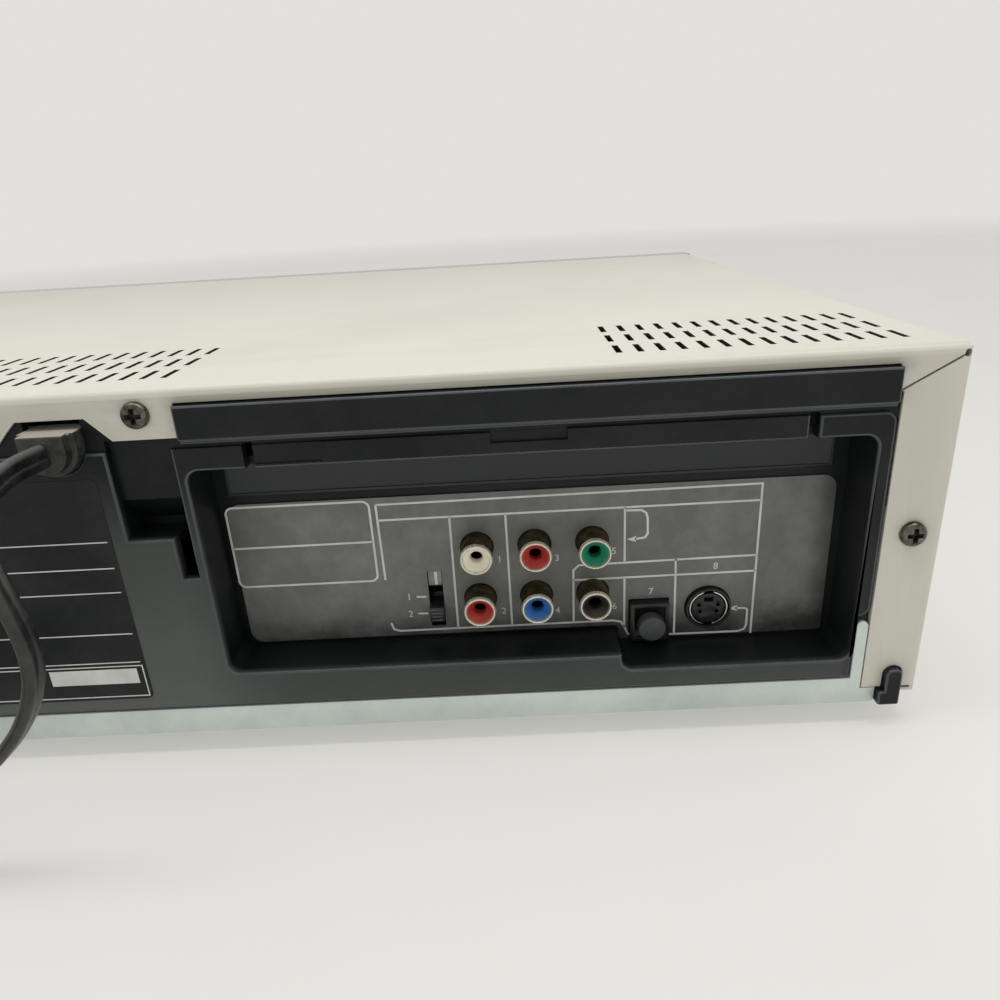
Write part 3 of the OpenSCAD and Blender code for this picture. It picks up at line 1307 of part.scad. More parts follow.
module cassette_basket() color("Silver") translate([deck_x, 0, 0]) {
    half = basket_w / 2;
    z = [basket_z, basket_z + basket_h];
    both_sides() {
        span([half, basket_y[0], z[0]], [half + basket_t, basket_y[1], z[1]]);
        span([half - 12.4, basket_y[0], z[0]], [half + 0.5, basket_y[1], z[0] + basket_t]);
        for (p = basket_pins) x_rod([half + 0.5, carriage_in + carriage_t], p, pin_z, stud_r);
        // spring that holds the cassette down
        span([half - 34, basket_y[0] + 8, z[1] - basket_t - 1], [half - 24, basket_y[0] + 44, z[1] - 0.5]);
    }
    difference() {
        span([-half - basket_t, basket_y[0], z[1] - basket_t], [half + basket_t, basket_y[1], z[1]]);
        for (x = [-52, 4]) span([x, basket_y[0] + 16, z[1] - 5], [x + 48, basket_y[1] - 16, z[1] + 1]);
    }
}

module drum_axis() translate([drum_pos[0], drum_pos[1], deck_top]) rotate([drum_tilt, 0, 0]) children();

// Fixed half of the drum, the heads beside it and the guide posts.
module tape_path() color("Silver") {
    difference() {
        drum_axis() translate([0, 0, -6]) cylinder(h = drum_split + 6, r = drum_r);
        span([deck_x - 50, 0, deck_top - 20], [deck_x + 50, 150, deck_top]);
        drum_axis() translate([0, 0, 4]) cylinder(h = 40, r = 2.5 + run_gap);
        // step that guides the tape's lower edge
        drum_axis() difference() {
            translate([0, 0, 8]) cylinder(h = 30, r = drum_r + 2);
            translate([0, 0, 7]) cylinder(h = 32, r = drum_r - 0.4);
        }
    }
    for (h = [[138, 44, 4.5], [56, 46, 5]]) translate([h[0], h[1], deck_top]) {
        span([-2 - h[2], -4, 0], [h[2], 5, 20]);
    }
    for (p = guide_posts) translate([p[0], p[1], deck_top]) {
        cylinder(h = 26, r = 1.5);
        cylinder(h = 4, r = 4);
        translate([0, 0, 6]) cylinder(h = 2, r = 3.4);
        translate([0, 0, 21]) cylinder(h = 2.4, r = 3.4);
    }
}

module upper_drum() color("Gainsboro") drum_axis() {
    difference() {
        translate([0, 0, drum_split + slip_gap]) cylinder(h = drum_h - drum_split, r = drum_r);
        // windows of the two heads
        for (s = [-1, 1]) translate([s * drum_r, 0, drum_split]) cube([3, 5, 3], center = true);
        translate([0, 0, drum_h - 2]) difference() {
            cylinder(h = 9, r = drum_r - 5);
            translate([0, 0, -1]) cylinder(h = 11, r = 9);
        }
    }
    translate([0, 0, 5]) cylinder(h = drum_split, r = 2.5);
}

module capstan() color("Silver") translate([capstan_pos[0], capstan_pos[1], 0]) {
    translate([0, 0, 25.4]) cylinder(h = 48.6, r = capstan_r);
    difference() {
        translate([0, 0, 27]) cylinder(h = 9, r = flywheel_r);
        translate([0, 0, 26]) difference() {
            cylinder(h = 5, r = flywheel_r - 4);
            cylinder(h = 20, r = 6);
        }
    }
}

module pinch_arm() color("DimGray") {
    z = [deck_z + 10, deck_z + 13];
    difference() {
        union() {
            translate([pinch_pivot[0], pinch_pivot[1], z[0]]) cylinder(h = 3, r = 6);
            translate([roller_pos[0], roller_pos[1], z[0]]) cylinder(h = 3, r = 4.5);
            translate([pinch_pivot[0], pinch_pivot[1], z[0]]) rotate(pinch_angle)
                translate([0, -4, 0]) cube([pinch_len, 8, 3]);
            translate([roller_pos[0], roller_pos[1], z[0]]) cylinder(h = 17, r = 1.5);
            // lug for the spring
            translate([pinch_pivot[0], pinch_pivot[1], z[0]]) rotate(pinch_angle + 130)
                translate([0, -2, 0]) cube([12, 4, 3]);
        }
        translate([pinch_pivot[0], pinch_pivot[1], 0]) cylinder(h = 99, r = 3 + run_gap);
    }
}

module pinch_roller() color("Black") translate([roller_pos[0], roller_pos[1], 0])
    tube(roller_r, 1.5 + run_gap, [deck_z + 13.4, deck_z + 25.4]);

// A reel table: its disc, hub and the three splines that turn the spool.
module reel_table(x) {
    translate([x, reel_y, 0]) difference() {
        union() {
            translate([0, 0, deck_z + 3]) cylinder(h = 2, r = reel_r);
            translate([0, 0, deck_z + 4.5]) cylinder(h = 2, r = 11);
            translate([0, 0, deck_z + 6]) cylinder(h = 7.4, r = 7);
            for (a = [30, 150, 270]) rotate(a) translate([0, -1, deck_z + 6]) cube([9.4, 2, 7]);
        }
        translate([0, 0, deck_z]) cylinder(h = 20, r = reel_pin_r + run_gap);
    }
}

module supply_reel() color("White") reel_table(deck_x - reel_dx);
module takeup_reel() color("White") reel_table(deck_x + reel_dx);

// Swinging idler: an arm below the reels and the wheel that drives either one.
module idler() color("DimGray") translate([idler_pivot[0], idler_pivot[1], 0]) {
    difference() {
        union() {
            translate([0, 0, deck_z + 1.6]) cylinder(h = 2.6, r = 3.4);
            translate([-3, 0, deck_z + 1.6]) cube([6, idler_len, 1.1]);
            translate([0, idler_len, deck_z + 1.6]) cylinder(h = 3, r = 3);
            translate([0, idler_len, deck_z + 3]) cylinder(h = 2, r = idler_r);
        }
        translate([0, 0, deck_z]) cylinder(h = 20, r = 1.5 + run_gap);
    }
}

top_cover();
chassis_pan();
standoffs();
feet();
cover_screws();
rear_panel();
jack_plate();
rca_barrels();
rca_white();
rca_red();
rca_yellow();
rca_green();
rca_blue();
rca_black();
svideo_jack();
optical_jack();
optical_cap();
switch_knob();
aerial_tuner();
jack_boards();
strain_relief();
power_cord();
cord_coil();
plug();
front_panel();
display_window();
cassette_door();
front_board();
power_key();
open_key();
eject_key();
dvd_play_key();
play_key();
stop_key();
rewind_key();
forward_key();
circuit_boards();
circuit_parts();
drive_motors();
loader_frame();
disc_tray();
tray_gear();
motor_pulley();
drive_belt();
traverse();
turntable();
pickup_sled();
clamp_bridge();
clamper();
deck_plate();
basket_carriage();
cassette_basket();
tape_path();
upper_drum();
capstan();
pinch_arm();
pinch_roller();
supply_reel();
takeup_reel();
idler();
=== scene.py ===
import math

import bpy
from mathutils import Matrix, Vector


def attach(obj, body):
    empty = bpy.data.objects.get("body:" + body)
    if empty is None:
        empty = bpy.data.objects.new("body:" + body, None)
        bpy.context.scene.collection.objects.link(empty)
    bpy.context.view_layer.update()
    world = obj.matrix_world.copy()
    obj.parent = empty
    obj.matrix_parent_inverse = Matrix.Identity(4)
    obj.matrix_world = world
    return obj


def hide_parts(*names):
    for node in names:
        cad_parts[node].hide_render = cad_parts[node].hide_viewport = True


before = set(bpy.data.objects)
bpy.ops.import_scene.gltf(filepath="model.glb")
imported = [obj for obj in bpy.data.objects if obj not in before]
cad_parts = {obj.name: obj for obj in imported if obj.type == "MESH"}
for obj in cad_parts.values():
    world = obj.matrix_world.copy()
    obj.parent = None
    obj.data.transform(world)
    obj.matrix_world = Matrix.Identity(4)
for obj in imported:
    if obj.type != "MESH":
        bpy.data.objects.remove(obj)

scene = bpy.context.scene
scene.view_settings.view_transform = "Standard"
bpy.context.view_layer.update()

# Camera
# It stands close behind the jack end of the machine, a little above it, and looks
# down on the rear panel through a short lens.
lens = bpy.data.cameras.new("sight")
lens.lens = 27.165
lens.sensor_width = 36
lens.clip_start = 0.01
camera = bpy.data.objects.new("camera", lens)
scene.collection.objects.link(camera)
camera.matrix_world = Matrix(((-0.99847, 0.00010, -0.05536),
                              (-0.05138, -0.37385, 0.92607),
                              (-0.02060, 0.92749, 0.37328))).transposed().to_4x4()
camera.location = (-0.11402, 0.30367, 0.13362)
scene.camera = camera

# Mains lead
# A flat twin-core lead of black PVC, 1.5 m long. It leaves the panel on edge, drops in
# a loop beside the machine, and the rest lies wound in two layers of three turns.
LEAD_WIDE = 5.6
LEAD_THICK = 2.9
WEB_SHARE = 0.66      # of the thickness of a core
WEB_ANGLE = 128       # where the round of a core ends, in degrees
LEAD_ROUTE = [(-10.5, 146, 86), (-9, 153, 86), (-8, 160, 85), (-8.5, 167, 82), (-11, 173, 77),
              (-14.5, 176.5, 70.5), (-17.5, 178, 62.5), (-18, 178, 54), (-15.5, 178, 45.5),
              (-10.5, 178, 37.5), (-3, 178, 30), (6.5, 178.3, 23), (17.5, 178.7, 16.5),
              (29.5, 179, 11), (42.5, 179, 6.6), (54, 179, 4), (62, 179, 3.3)]
COIL_MIDDLE = (77, 218.05)
COIL_RADII = (39.05, 30.3)
COIL_HEIGHTS = (3.2, 9.1)
TURNS_A_LAYER = 3
MARKS_A_SPAN = 5      # between two points of the route
MARKS_A_TURN = 60
CLIMB = 0.28          # of a turn, from one layer to the other
PLUG_HEIGHT = 6.8
PLUG_RUN = 17         # in which the lead comes down from the coil to the plug
LAID_FLAT = (10, 15)  # the mark where the lead starts to turn flat, and how many it takes
SET_UP = (50, 24)     # the same for its way back on edge
END_OF_THE_DROP = range(65, 78, 3)
END_AT_THE_PLUG = range(79, 103, 2)


def eased(share):
    """A share from 0 to 1 that starts and ends gently."""
    share = max(0.0, min(1.0, share))
    return share * share * (3 - 2 * share)


def lead_drop(route, steps):
    """The middle of the lead from the panel down to the table, as a smooth spline."""
    points = [Vector(p) for p in route]
    points = [2 * points[0] - points[1]] + points + [2 * points[-1] - points[-2]]
    line = []
    for i in range(len(points) - 3):
        for k in range(steps):
            t = k / steps
            line.append((points[i] * (1 - t) ** 3 + points[i + 1] * (3 * t ** 3 - 6 * t ** 2 + 4)
                         + points[i + 2] * (-3 * t ** 3 + 3 * t ** 2 + 3 * t + 1)
                         + points[i + 3] * t ** 3) / 6)
    return line + [Vector(route[-1])]


def lead_coil():
    """Three turns inwards on the table, up one layer, and three turns outwards."""
    outer, inner = COIL_RADII
    low, high = COIL_HEIGHTS
    line = []
    for i in range(1, 2 * TURNS_A_LAYER * MARKS_A_TURN + 1):
        turn = i / MARKS_A_TURN
        r = outer + (inner - outer) * (1 - abs(turn / TURNS_A_LAYER - 1))
        z = low + (high - low) * eased((turn - TURNS_A_LAYER + CLIMB / 2) / CLIMB)
        angle = math.radians(360 * turn - 90)
        line.append(Vector((COIL_MIDDLE[0] + r * math.cos(angle),
                            COIL_MIDDLE[1] + r * math.sin(angle), z)))
    return line


def plug_end(x):
    """The height of the lead's last stretch, which comes down from the coil to the plug."""
    top = COIL_HEIGHTS[1]
    return top - (top - PLUG_HEIGHT) * eased((x - COIL_MIDDLE[0]) / PLUG_RUN)


bottom_y = COIL_MIDDLE[1] - COIL_RADII[0]
lead_line = lead_drop(LEAD_ROUTE, MARKS_A_SPAN)
route_x, _, route_z = LEAD_ROUTE[-1]
sink = (route_z - COIL_HEIGHTS[0]) / (COIL_MIDDLE[0] - route_x)
lead_line += [Vector((x, bottom_y, route_z - sink * (x - route_x))) for x in END_OF_THE_DROP]
lead_line += lead_coil()
lead_line += [Vector((x, bottom_y, plug_end(x))) for x in END_AT_THE_PLUG]


def twin_core():
    """The outline of the lead: two round cores and the thin web between them."""
    core, out = LEAD_THICK / 2, LEAD_WIDE / 2 - LEAD_THICK / 2
    arc = [math.radians(WEB_ANGLE * (k / 4 - 1)) for k in range(9)]
    right = [(out + core * math.cos(a), core * math.sin(a)) for a in arc]
    left = [(-x, -y) for x, y in right]
    return right + [(0, WEB_SHARE * core)] + left + [(0, -WEB_SHARE * core)]


def from_faces(name, points, faces):
    """A piece made of points and the faces between them."""
    mesh = bpy.data.meshes.new(name)
    mesh.from_pydata(points, [], faces)
    piece = bpy.data.objects.new(name, mesh)
    scene.collection.objects.link(piece)
    return piece


def lead_tube(line):
    """A tube with the twin-core outline, its wide side turned as the lead lies."""
    outline = twin_core()
    upright, across = Vector((0, 0, 1)), Vector((0, 1, 0))
    vertices, faces = [], []
    for i, point in enumerate(line):
        way = (line[min(i + 1, len(line) - 1)] - line[max(i - 1, 0)]).normalized()
        if i < SET_UP[0]:
            wide = upright.lerp(across, eased((i - LAID_FLAT[0]) / LAID_FLAT[1]))
        else:
            wide = across.lerp(upright, eased((i - SET_UP[0]) / SET_UP[1]))
        wide = (wide - way * wide.dot(way)).normalized()
        thick = way.cross(wide)
        vertices += [(point + wide * u + thick * v) / 1000 for u, v in outline]
    n = len(outline)
    for i in range(len(line) - 1):
        for k in range(n):
            m = (k + 1) % n
            faces.append((i * n + k, i * n + m, (i + 1) * n + m, (i + 1) * n + k))
    faces.append(tuple(range(n - 1, -1, -1)))
    faces.append(tuple(range(len(vertices) - n, len(vertices))))
    return from_faces("mains_lead", vertices, faces)


def only(piece):
    """Makes one piece the selected and active one."""
    bpy.ops.object.select_all(action="DESELECT")
    piece.select_set(True)
    bpy.context.view_layer.objects.active = piece


def faces_outwards():
    """Turns the faces of the piece in hand outwards and ends its editing."""
    bpy.ops.mesh.select_all(action="SELECT")
    bpy.ops.mesh.normals_make_consistent(inside=False)
    bpy.ops.object.mode_set(mode="OBJECT")


def smoothed(sharp):
    """Smooths what is selected but for edges sharper than an angle."""
    bpy.ops.object.shade_smooth_by_angle(angle=math.radians(sharp))


def opened(piece):
    """Opens one piece for editing."""
    only(piece)
    bpy.ops.object.mode_set(mode="EDIT")


def shade(red, green, blue):
    """A colour as a screen shows it, 0 to 255, turned into light."""
    light = []
    for c in (red / 255, green / 255, blue / 255):
        light.append(((c + 0.055) / 1.055) ** 2.4 if c > 0.04045 else c / 12.92)
    return (*light, 1.0)


def noise(tree, place, scale, detail, roughness):
    """A pattern that drifts with the place on the piece."""
    pattern = tree.nodes.new("ShaderNodeTexNoise")
    pattern.inputs["Scale"].default_value = scale
    pattern.inputs["Detail"].default_value = detail
    pattern.inputs["Roughness"].default_value = roughness
    tree.links.new(place.outputs["Object"], pattern.inputs["Vector"])
    return pattern.outputs["Fac"]


def ranged(tree, value, low, high, least=0.0, most=1.0):
    """Turns a value that goes from low to high into one that goes from least to most."""
    span = tree.nodes.new("ShaderNodeMapRange")
    span.inputs["From Min"].default_value = low
    span.inputs["From Max"].default_value = high
    span.inputs["To Min"].default_value = least
    span.inputs["To Max"].default_value = most
    tree.links.new(value, span.inputs["Value"])
    return span.outputs["Result"]


def put_together(tree, how, first, second):
    """Two values added, multiplied or held at the greater one, kept from 0 to 1."""
    step = tree.nodes.new("ShaderNodeMath")
    step.operation = how
    step.use_clamp = True
    tree.links.new(first, step.inputs[0])
    tree.links.new(second, step.inputs[1])
    return step.outputs["Value"]


# The places of a Mix node's sockets, for colours and for values.
TINT_SHARE, FIRST_TINT, SECOND_TINT, MIXED_TINT = 0, 6, 7, 2
FIRST_VALUE, SECOND_VALUE = 2, 3
RELIEF_DEEP = 0.0002
DUST_ROUGH = 0.85


def new_finish(name, dark, light, grain, rough, bump=0.05, metal=0.0, fine=900):
    """A finish that drifts between two close shades, with the same drift in its gloss
    and a fine relief. Returns the material, so that a section can add to it."""
    made = bpy.data.materials.new(name)
    made.use_nodes = True
    tree = made.node_tree
    skin = tree.nodes["Principled BSDF"]
    skin.inputs["Metallic"].default_value = metal
    place = tree.nodes.new("ShaderNodeTexCoord")
    drift = noise(tree, place, scale=grain, detail=6.0, roughness=0.62)
    tint = tree.nodes.new("ShaderNodeMix")
    tint.name = "tint"
    tint.data_type = "RGBA"
    tint.inputs[FIRST_TINT].default_value = shade(*dark)
    tint.inputs[SECOND_TINT].default_value = shade(*light)
    tree.links.new(ranged(tree, drift, low=0.32, high=0.68), tint.inputs[TINT_SHARE])
    tree.links.new(tint.outputs[MIXED_TINT], skin.inputs["Base Color"])
    gloss = ranged(tree, drift, low=0.3, high=0.7, least=rough[0], most=rough[1])
    gloss.node.name = "gloss"
    tree.links.new(gloss, skin.inputs["Roughness"])
    relief = tree.nodes.new("ShaderNodeBump")
    relief.inputs["Strength"].default_value = bump
    relief.inputs["Distance"].default_value = RELIEF_DEEP
    grit = noise(tree, place, scale=fine, detail=3.0, roughness=0.5)
    tree.links.new(grit, relief.inputs["Height"])
    tree.links.new(relief.outputs["Normal"], skin.inputs["Normal"])
    return made


def dusty(finish, dust_and_painted_light, amount, scale, upward=0.0):
    """Lays dust over a finish: patches of it, and more where a face looks up."""
    tree = finish.node_tree
    skin = tree.nodes["Principled BSDF"]
    place = tree.nodes.new("ShaderNodeTexCoord")
    clouds = noise(tree, place, scale, detail=9.0, roughness=0.7)
    patches = ranged(tree, clouds, low=0.42, high=0.72, most=amount)
    facing = tree.nodes.new("ShaderNodeSeparateXYZ")
    tree.links.new(place.outputs["Normal"], facing.inputs["Vector"])
    up = ranged(tree, facing.outputs["Z"], low=0.2, high=1.0, most=upward)
    both = put_together(tree, "ADD", patches, up)
    both.node.name = "dust_amount"
    # This mix lays the dust; the films added later also lay painted shade and a painted reflection
    # through it.
    cover = tree.nodes.new("ShaderNodeMix")
    cover.name = "dust_and_painted_light"
    cover.data_type = "RGBA"
    cover.inputs[SECOND_TINT].default_value = shade(*dust_and_painted_light)
    tree.links.new(both, cover.inputs[TINT_SHARE])
    tree.links.new(tree.nodes["tint"].outputs[MIXED_TINT], cover.inputs[FIRST_TINT])
    tree.links.new(cover.outputs[MIXED_TINT], skin.inputs["Base Color"])
    dull = tree.nodes.new("ShaderNodeMix")
    dull.inputs[SECOND_VALUE].default_value = DUST_ROUGH
    tree.links.new(both, dull.inputs["Factor"])
    tree.links.new(tree.nodes["gloss"].outputs["Result"], dull.inputs[FIRST_VALUE])
    tree.links.new(dull.outputs["Result"], skin.inputs["Roughness"])
    return finish


def coated(piece, finish):
    """Gives a piece one finish all over."""
    piece.data.materials.clear()
    piece.data.materials.append(finish)


lead_pvc = dusty(new_finish("lead_pvc", (15, 16, 18), (28, 29, 31), 60, (0.22, 0.38), 0.1),
                 (122, 120, 116), 0.14, 260, 0.34)
lead = lead_tube(lead_line)
opened(lead)
faces_outwards()
smoothed(50)
coated(lead, lead_pvc)
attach(lead, "case")
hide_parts("power_cord", "cord_coil")

# Strain relief
# A moulded block that grips the lead and slides into the slot of the rear panel from
# above, with a flange inside and one outside. Its flat top gathers dust.


def edges_broken(piece, width, steps, sharp):
    """Bevels the edges of the active piece that are sharper than an angle."""
    rim = piece.modifiers.new("edge", "BEVEL")
    rim.width = width / 1000
    rim.segments = steps
    rim.limit_method = "ANGLE"
    rim.angle_limit = math.radians(sharp)
    bpy.ops.object.modifier_apply(modifier="edge")


def dressed(node, name, body, finish, edge=0.0, sharp=32, merged=True):
    """A copy of a CAD node with its edges broken, which stands for that node. Its flat
    faces are made whole first, unless merged is False."""
    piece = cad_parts[node].copy()
    piece.data = piece.data.copy()
    for key in list(piece.keys()):
        del piece[key]
    piece.name = piece.data.name = name
    scene.collection.objects.link(piece)
    piece.parent = None
    only(piece)
    bpy.ops.mesh.customdata_custom_splitnormals_clear()
    bpy.ops.object.mode_set(mode="EDIT")
    bpy.ops.mesh.select_all(action="SELECT")
    bpy.ops.mesh.remove_doubles(threshold=0.000002)
    if merged:
        bpy.ops.mesh.dissolve_limited(angle_limit=math.radians(0.5))
    bpy.ops.object.mode_set(mode="OBJECT")
    if edge:
        edges_broken(piece, edge, 2, sharp)
    smoothed(sharp)
    coated(piece, finish)
    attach(piece, body)
    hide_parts(node)
    return piece


relief_pvc = dusty(new_finish("relief_pvc", (16, 18, 20), (26, 28, 30), 70, (0.34, 0.5), 0.2),
                   (182, 174, 162), 0.1, 420, 0.66)
relief = dressed("strain_relief", "lead_relief", "case", relief_pvc, 0.5)

# Plug
# A flat two-pin plug moulded on the end of the lead: a waisted body to grip, a ribbed
# sleeve where the lead goes in, and two nickel-plated brass blades.
PLUG_AWAY = 31        # from the middle of the coil
PLUG_PLACE = (COIL_MIDDLE[0] + PLUG_AWAY, bottom_y, PLUG_HEIGHT)
PLUG_SIZE = (30, 18, 12.6)
PLUG_TAIL = 0.52      # of the full width, as along the waist
PLUG_WAIST = [(2, 0.6), (6, 0.86), (10, 0.78), (15, 0.8), (20, 0.94), (26, 1.0)]
PLUG_THINS = 0.28     # of what the width loses, for the height
SLEEVE_SIZE = (9, 5.6, 7.6)
SLEEVE_AT = -3.5
RIB_SIZE = (1, 7, 9)
RIBS_AT = (-6.4, -4.4, -2.4)
BLADE_SIZE = (16.4, 1.5, 6.3)
BLADES_AT = (38, -0.1)
BLADES_APART = 12.7


def shaped_bar(name, centre, size):
    """A bar with its six faces, in millimetres, ready to be shaped."""
    bpy.ops.object.select_all(action="DESELECT")
    bpy.ops.mesh.primitive_cube_add(size=1, location=[c / 1000 for c in centre],
                                    scale=[s / 1000 for s in size])
    piece = bpy.context.object
    bpy.ops.object.transform_apply(location=True, rotation=True, scale=True)
    piece.name = piece.data.name = name
    return piece


def rounded_off(piece, width, steps=3):
    """Breaks the edges of a piece and smooths what lies between them."""
    only(piece)
    edges_broken(piece, width, steps, 30)
    smoothed(40)


def settled(piece, body, slot, finish, *nodes):
    """Finishes a new piece and fixes it to what carries it."""
    coated(piece, finish)
    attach(piece, body)
    if nodes:
        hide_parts(*nodes)
    return piece


def cut_across(piece, axis, places):
    """Cuts a ring of edges round a piece at each place along an axis."""
    opened(piece)
    for place in places:
        point, normal = [0, 0, 0], [0, 0, 0]
        point[axis], normal[axis] = place / 1000, 1
        bpy.ops.mesh.select_all(action="SELECT")
        bpy.ops.mesh.bisect(plane_co=point, plane_no=normal)
    bpy.ops.object.mode_set(mode="OBJECT")


def joined(name, pieces):
    """Several shapes made into one piece."""
    bpy.ops.object.select_all(action="DESELECT")
    for piece in pieces:
        piece.select_set(True)
    bpy.context.view_layer.objects.active = pieces[0]
    bpy.ops.object.join()
    pieces[0].name = pieces[0].data.name = name
    return pieces[0]


def plug_share(at):
    """How much of its full width the plug has at a distance from its tail."""
    if at < 1:
        return PLUG_TAIL
    if at >= PLUG_SIZE[0] - 1:
        return 1.0
    return min((abs(at - cut), share) for cut, share in PLUG_WAIST)[1]


px, py, pz = PLUG_PLACE
grip = shaped_bar("plug_grip", (px + PLUG_SIZE[0] / 2, py, pz), PLUG_SIZE)
cut_across(grip, 0, [px + cut for cut, _ in PLUG_WAIST])
for vertex in grip.data.vertices:
    share = plug_share(vertex.co.x * 1000 - px)
    vertex.co.y = py / 1000 + (vertex.co.y - py / 1000) * share
    vertex.co.z = pz / 1000 + (vertex.co.z - pz / 1000) * (1 - PLUG_THINS + PLUG_THINS * share)
rounded_off(grip, 1.6)
sleeve = [shaped_bar("plug_sleeve", (px + SLEEVE_AT, py, pz), SLEEVE_SIZE)]
rounded_off(sleeve[0], 0.8)
for at in RIBS_AT:
    sleeve.append(shaped_bar("plug_rib", (px + at, py, pz), RIB_SIZE))
    rounded_off(sleeve[-1], 0.4)
plug_pvc = dusty(new_finish("plug_pvc", (17, 18, 19), (29, 30, 32), 55, (0.34, 0.5), 0.25),
                 (96, 94, 88), 0.12, 120, 0.05)
plug_body = settled(joined("plug_body", [grip] + sleeve), "case", "cord_black", plug_pvc, "plug")
blade_nickel = new_finish("blade_nickel", (168, 164, 152), (206, 203, 194), 300, (0.2, 0.36),
                          0.05, 1.0)
blades = []
blade_x, blade_z = px + BLADES_AT[0], pz + BLADES_AT[1]
for side in (-1, 1):
    blade = shaped_bar("plug_blade", (blade_x, py + side * BLADES_APART / 2, blade_z), BLADE_SIZE)
    rounded_off(blade, 0.5)
    blades.append(blade)
plug_blades = settled(joined("plug_blades", blades), "case", "plated_metal", blade_nickel)

# Coil tie
# A strip of black plastic wrapped once round the turns on the side away from the
# machine, so that the coil stays together.
TIE_SIZE = (7, 12.9, 12.2)
TIE_THICK = 0.4
TIE_HEIGHT = 6.2


def faces_picked(piece, chosen):
    """Opens a piece for editing with only the chosen faces selected."""
    opened(piece)
    bpy.ops.mesh.select_mode(type="FACE")
    bpy.ops.mesh.select_all(action="DESELECT")
    bpy.ops.object.mode_set(mode="OBJECT")
    for face in piece.data.polygons:
        face.select = chosen(face)
    bpy.ops.object.mode_set(mode="EDIT")


def editing_ended():
    """Ends the editing of faces, with points as what is selected from here on."""
    bpy.ops.mesh.select_mode(type="VERT")
    bpy.ops.object.mode_set(mode="OBJECT")


tie_y = COIL_MIDDLE[1] + sum(COIL_RADII) / 2
tie = shaped_bar("coil_tie", (COIL_MIDDLE[0], tie_y, TIE_HEIGHT), TIE_SIZE)
faces_picked(tie, lambda face: abs(face.normal.x) > 0.9)
bpy.ops.mesh.inset(thickness=TIE_THICK / 1000)
bpy.ops.mesh.bridge_edge_loops()
editing_ended()
rounded_off(tie, 0.35)
coil_tie = settled(tie, "case", "cord_black", plug_pvc)

# Studio
# A plain pale floor that runs out of sight in an even pale surround, with one wide soft
# lamp over the machine and a long narrow one over its rear edge, tilted outwards.
FLOOR_TONE = (226, 224, 220)
FLOOR_GLOW = 0.5
FLOOR_ENDS = (0.9, 2.6)
SURROUND_LIGHT = 0.64
bpy.ops.object.select_all(action="DESELECT")
bpy.ops.mesh.primitive_circle_add(vertices=96, radius=9, fill_type="NGON")
floor = bpy.context.object
floor.name = "floor"
floor_paint = new_finish("floor_paint", (232, 230, 226), (238, 236, 232), 5, (0.55, 0.65), 0.02)
tree = floor_paint.node_tree
seen = tree.nodes.new("ShaderNodeLightPath")
watched = put_together(tree, "MAXIMUM", seen.outputs["Is Camera Ray"],
                       seen.outputs["Is Glossy Ray"])
where = tree.nodes.new("ShaderNodeTexCoord")
away = tree.nodes.new("ShaderNodeVectorMath")
away.operation = "LENGTH"
tree.links.new(where.outputs["Object"], away.inputs[0])
glow_share = put_together(tree, "MAXIMUM",
                          ranged(tree, watched, low=0.0, high=1.0, most=FLOOR_GLOW),
                          ranged(tree, away.outputs["Value"], *FLOOR_ENDS))
glow = tree.nodes.new("ShaderNodeEmission")
glow.inputs["Color"].default_value = shade(*FLOOR_TONE)


def shown(tree, share, first, second, end):
    """Shows two shaders in a share, as the surface or the surround."""
    fade = tree.nodes.new("ShaderNodeMixShader")
    for socket, source in zip(fade.inputs, (share, first, second)):
        tree.links.new(source, socket)
    tree.links.new(fade.outputs["Shader"], tree.nodes[end].inputs["Surface"])


shown(tree, glow_share, tree.nodes["Principled BSDF"].outputs["BSDF"],
      glow.outputs["Emission"], "Material Output")
coated(floor, floor_paint)

surround = bpy.data.worlds.new("surround")
surround.use_nodes = True
scene.world = surround
tree = surround.node_tree
lit = tree.nodes["Background"]
lit.inputs["Color"].default_value = (1.0, 0.99, 0.97, 1.0)
lit.inputs["Strength"].default_value = SURROUND_LIGHT
plain = tree.nodes.new("ShaderNodeBackground")
plain.inputs["Color"].default_value = shade(*FLOOR_TONE)
seen = tree.nodes.new("ShaderNodeLightPath")
direct = put_together(tree, "MAXIMUM", seen.outputs["Is Camera Ray"],
                      seen.outputs["Is Glossy Ray"])
clear = put_together(tree, "MAXIMUM", direct, seen.outputs["Is Transmission Ray"])
shown(tree, clear, lit.outputs["Background"], plain.outputs["Background"], "World Output")


def soft_lamp(name, place, aim, size, power):
    """A wide lamp with a soft edge, turned from its place to its aim."""
    lamp = bpy.data.lights.new(name, "AREA")
    lamp.shape = "RECTANGLE"
    lamp.size, lamp.size_y = size
    lamp.energy = power
    holder = bpy.data.objects.new(name, lamp)
    scene.collection.objects.link(holder)
    holder.location = place
    holder.rotation_mode = "QUATERNION"
    holder.rotation_quaternion = (Vector(aim) - Vector(place)).to_track_quat("-Z", "Y")


soft_lamp("overhead", (-0.05, 0.1, 1.2), (-0.05, 0.1, 0), (1.1, 0.5), 2.6)
soft_lamp("over_the_jacks", (-0.12, 0.16, 0.5), (-0.12, 0.34, 0), (0.8, 0.1), 1.15)

# Floor pan
# The tray under everything: zinc-coated steel sheet with a faint blue cast, folded up
# at the sides and, at the rear, into the pale strip below the panel.
zinc = dusty(new_finish("zinc", (188, 200, 195), (214, 225, 219), 42, (0.3, 0.5), 0.05, 0.3),
             (170, 172, 164), 0.25, 30)
dressed("chassis_pan", "floor_pan", "case", zinc, 0.2)

# Feet
# Four turned rubber feet, pressed into the floor pan.
foot_rubber = dusty(new_finish("foot_rubber", (22, 22, 22), (36, 36, 35), 40, (0.7, 0.9), 0.3),
                    (110, 106, 98), 0.3, 60)
dressed("feet", "rubber_feet", "case", foot_rubber, 0.3)

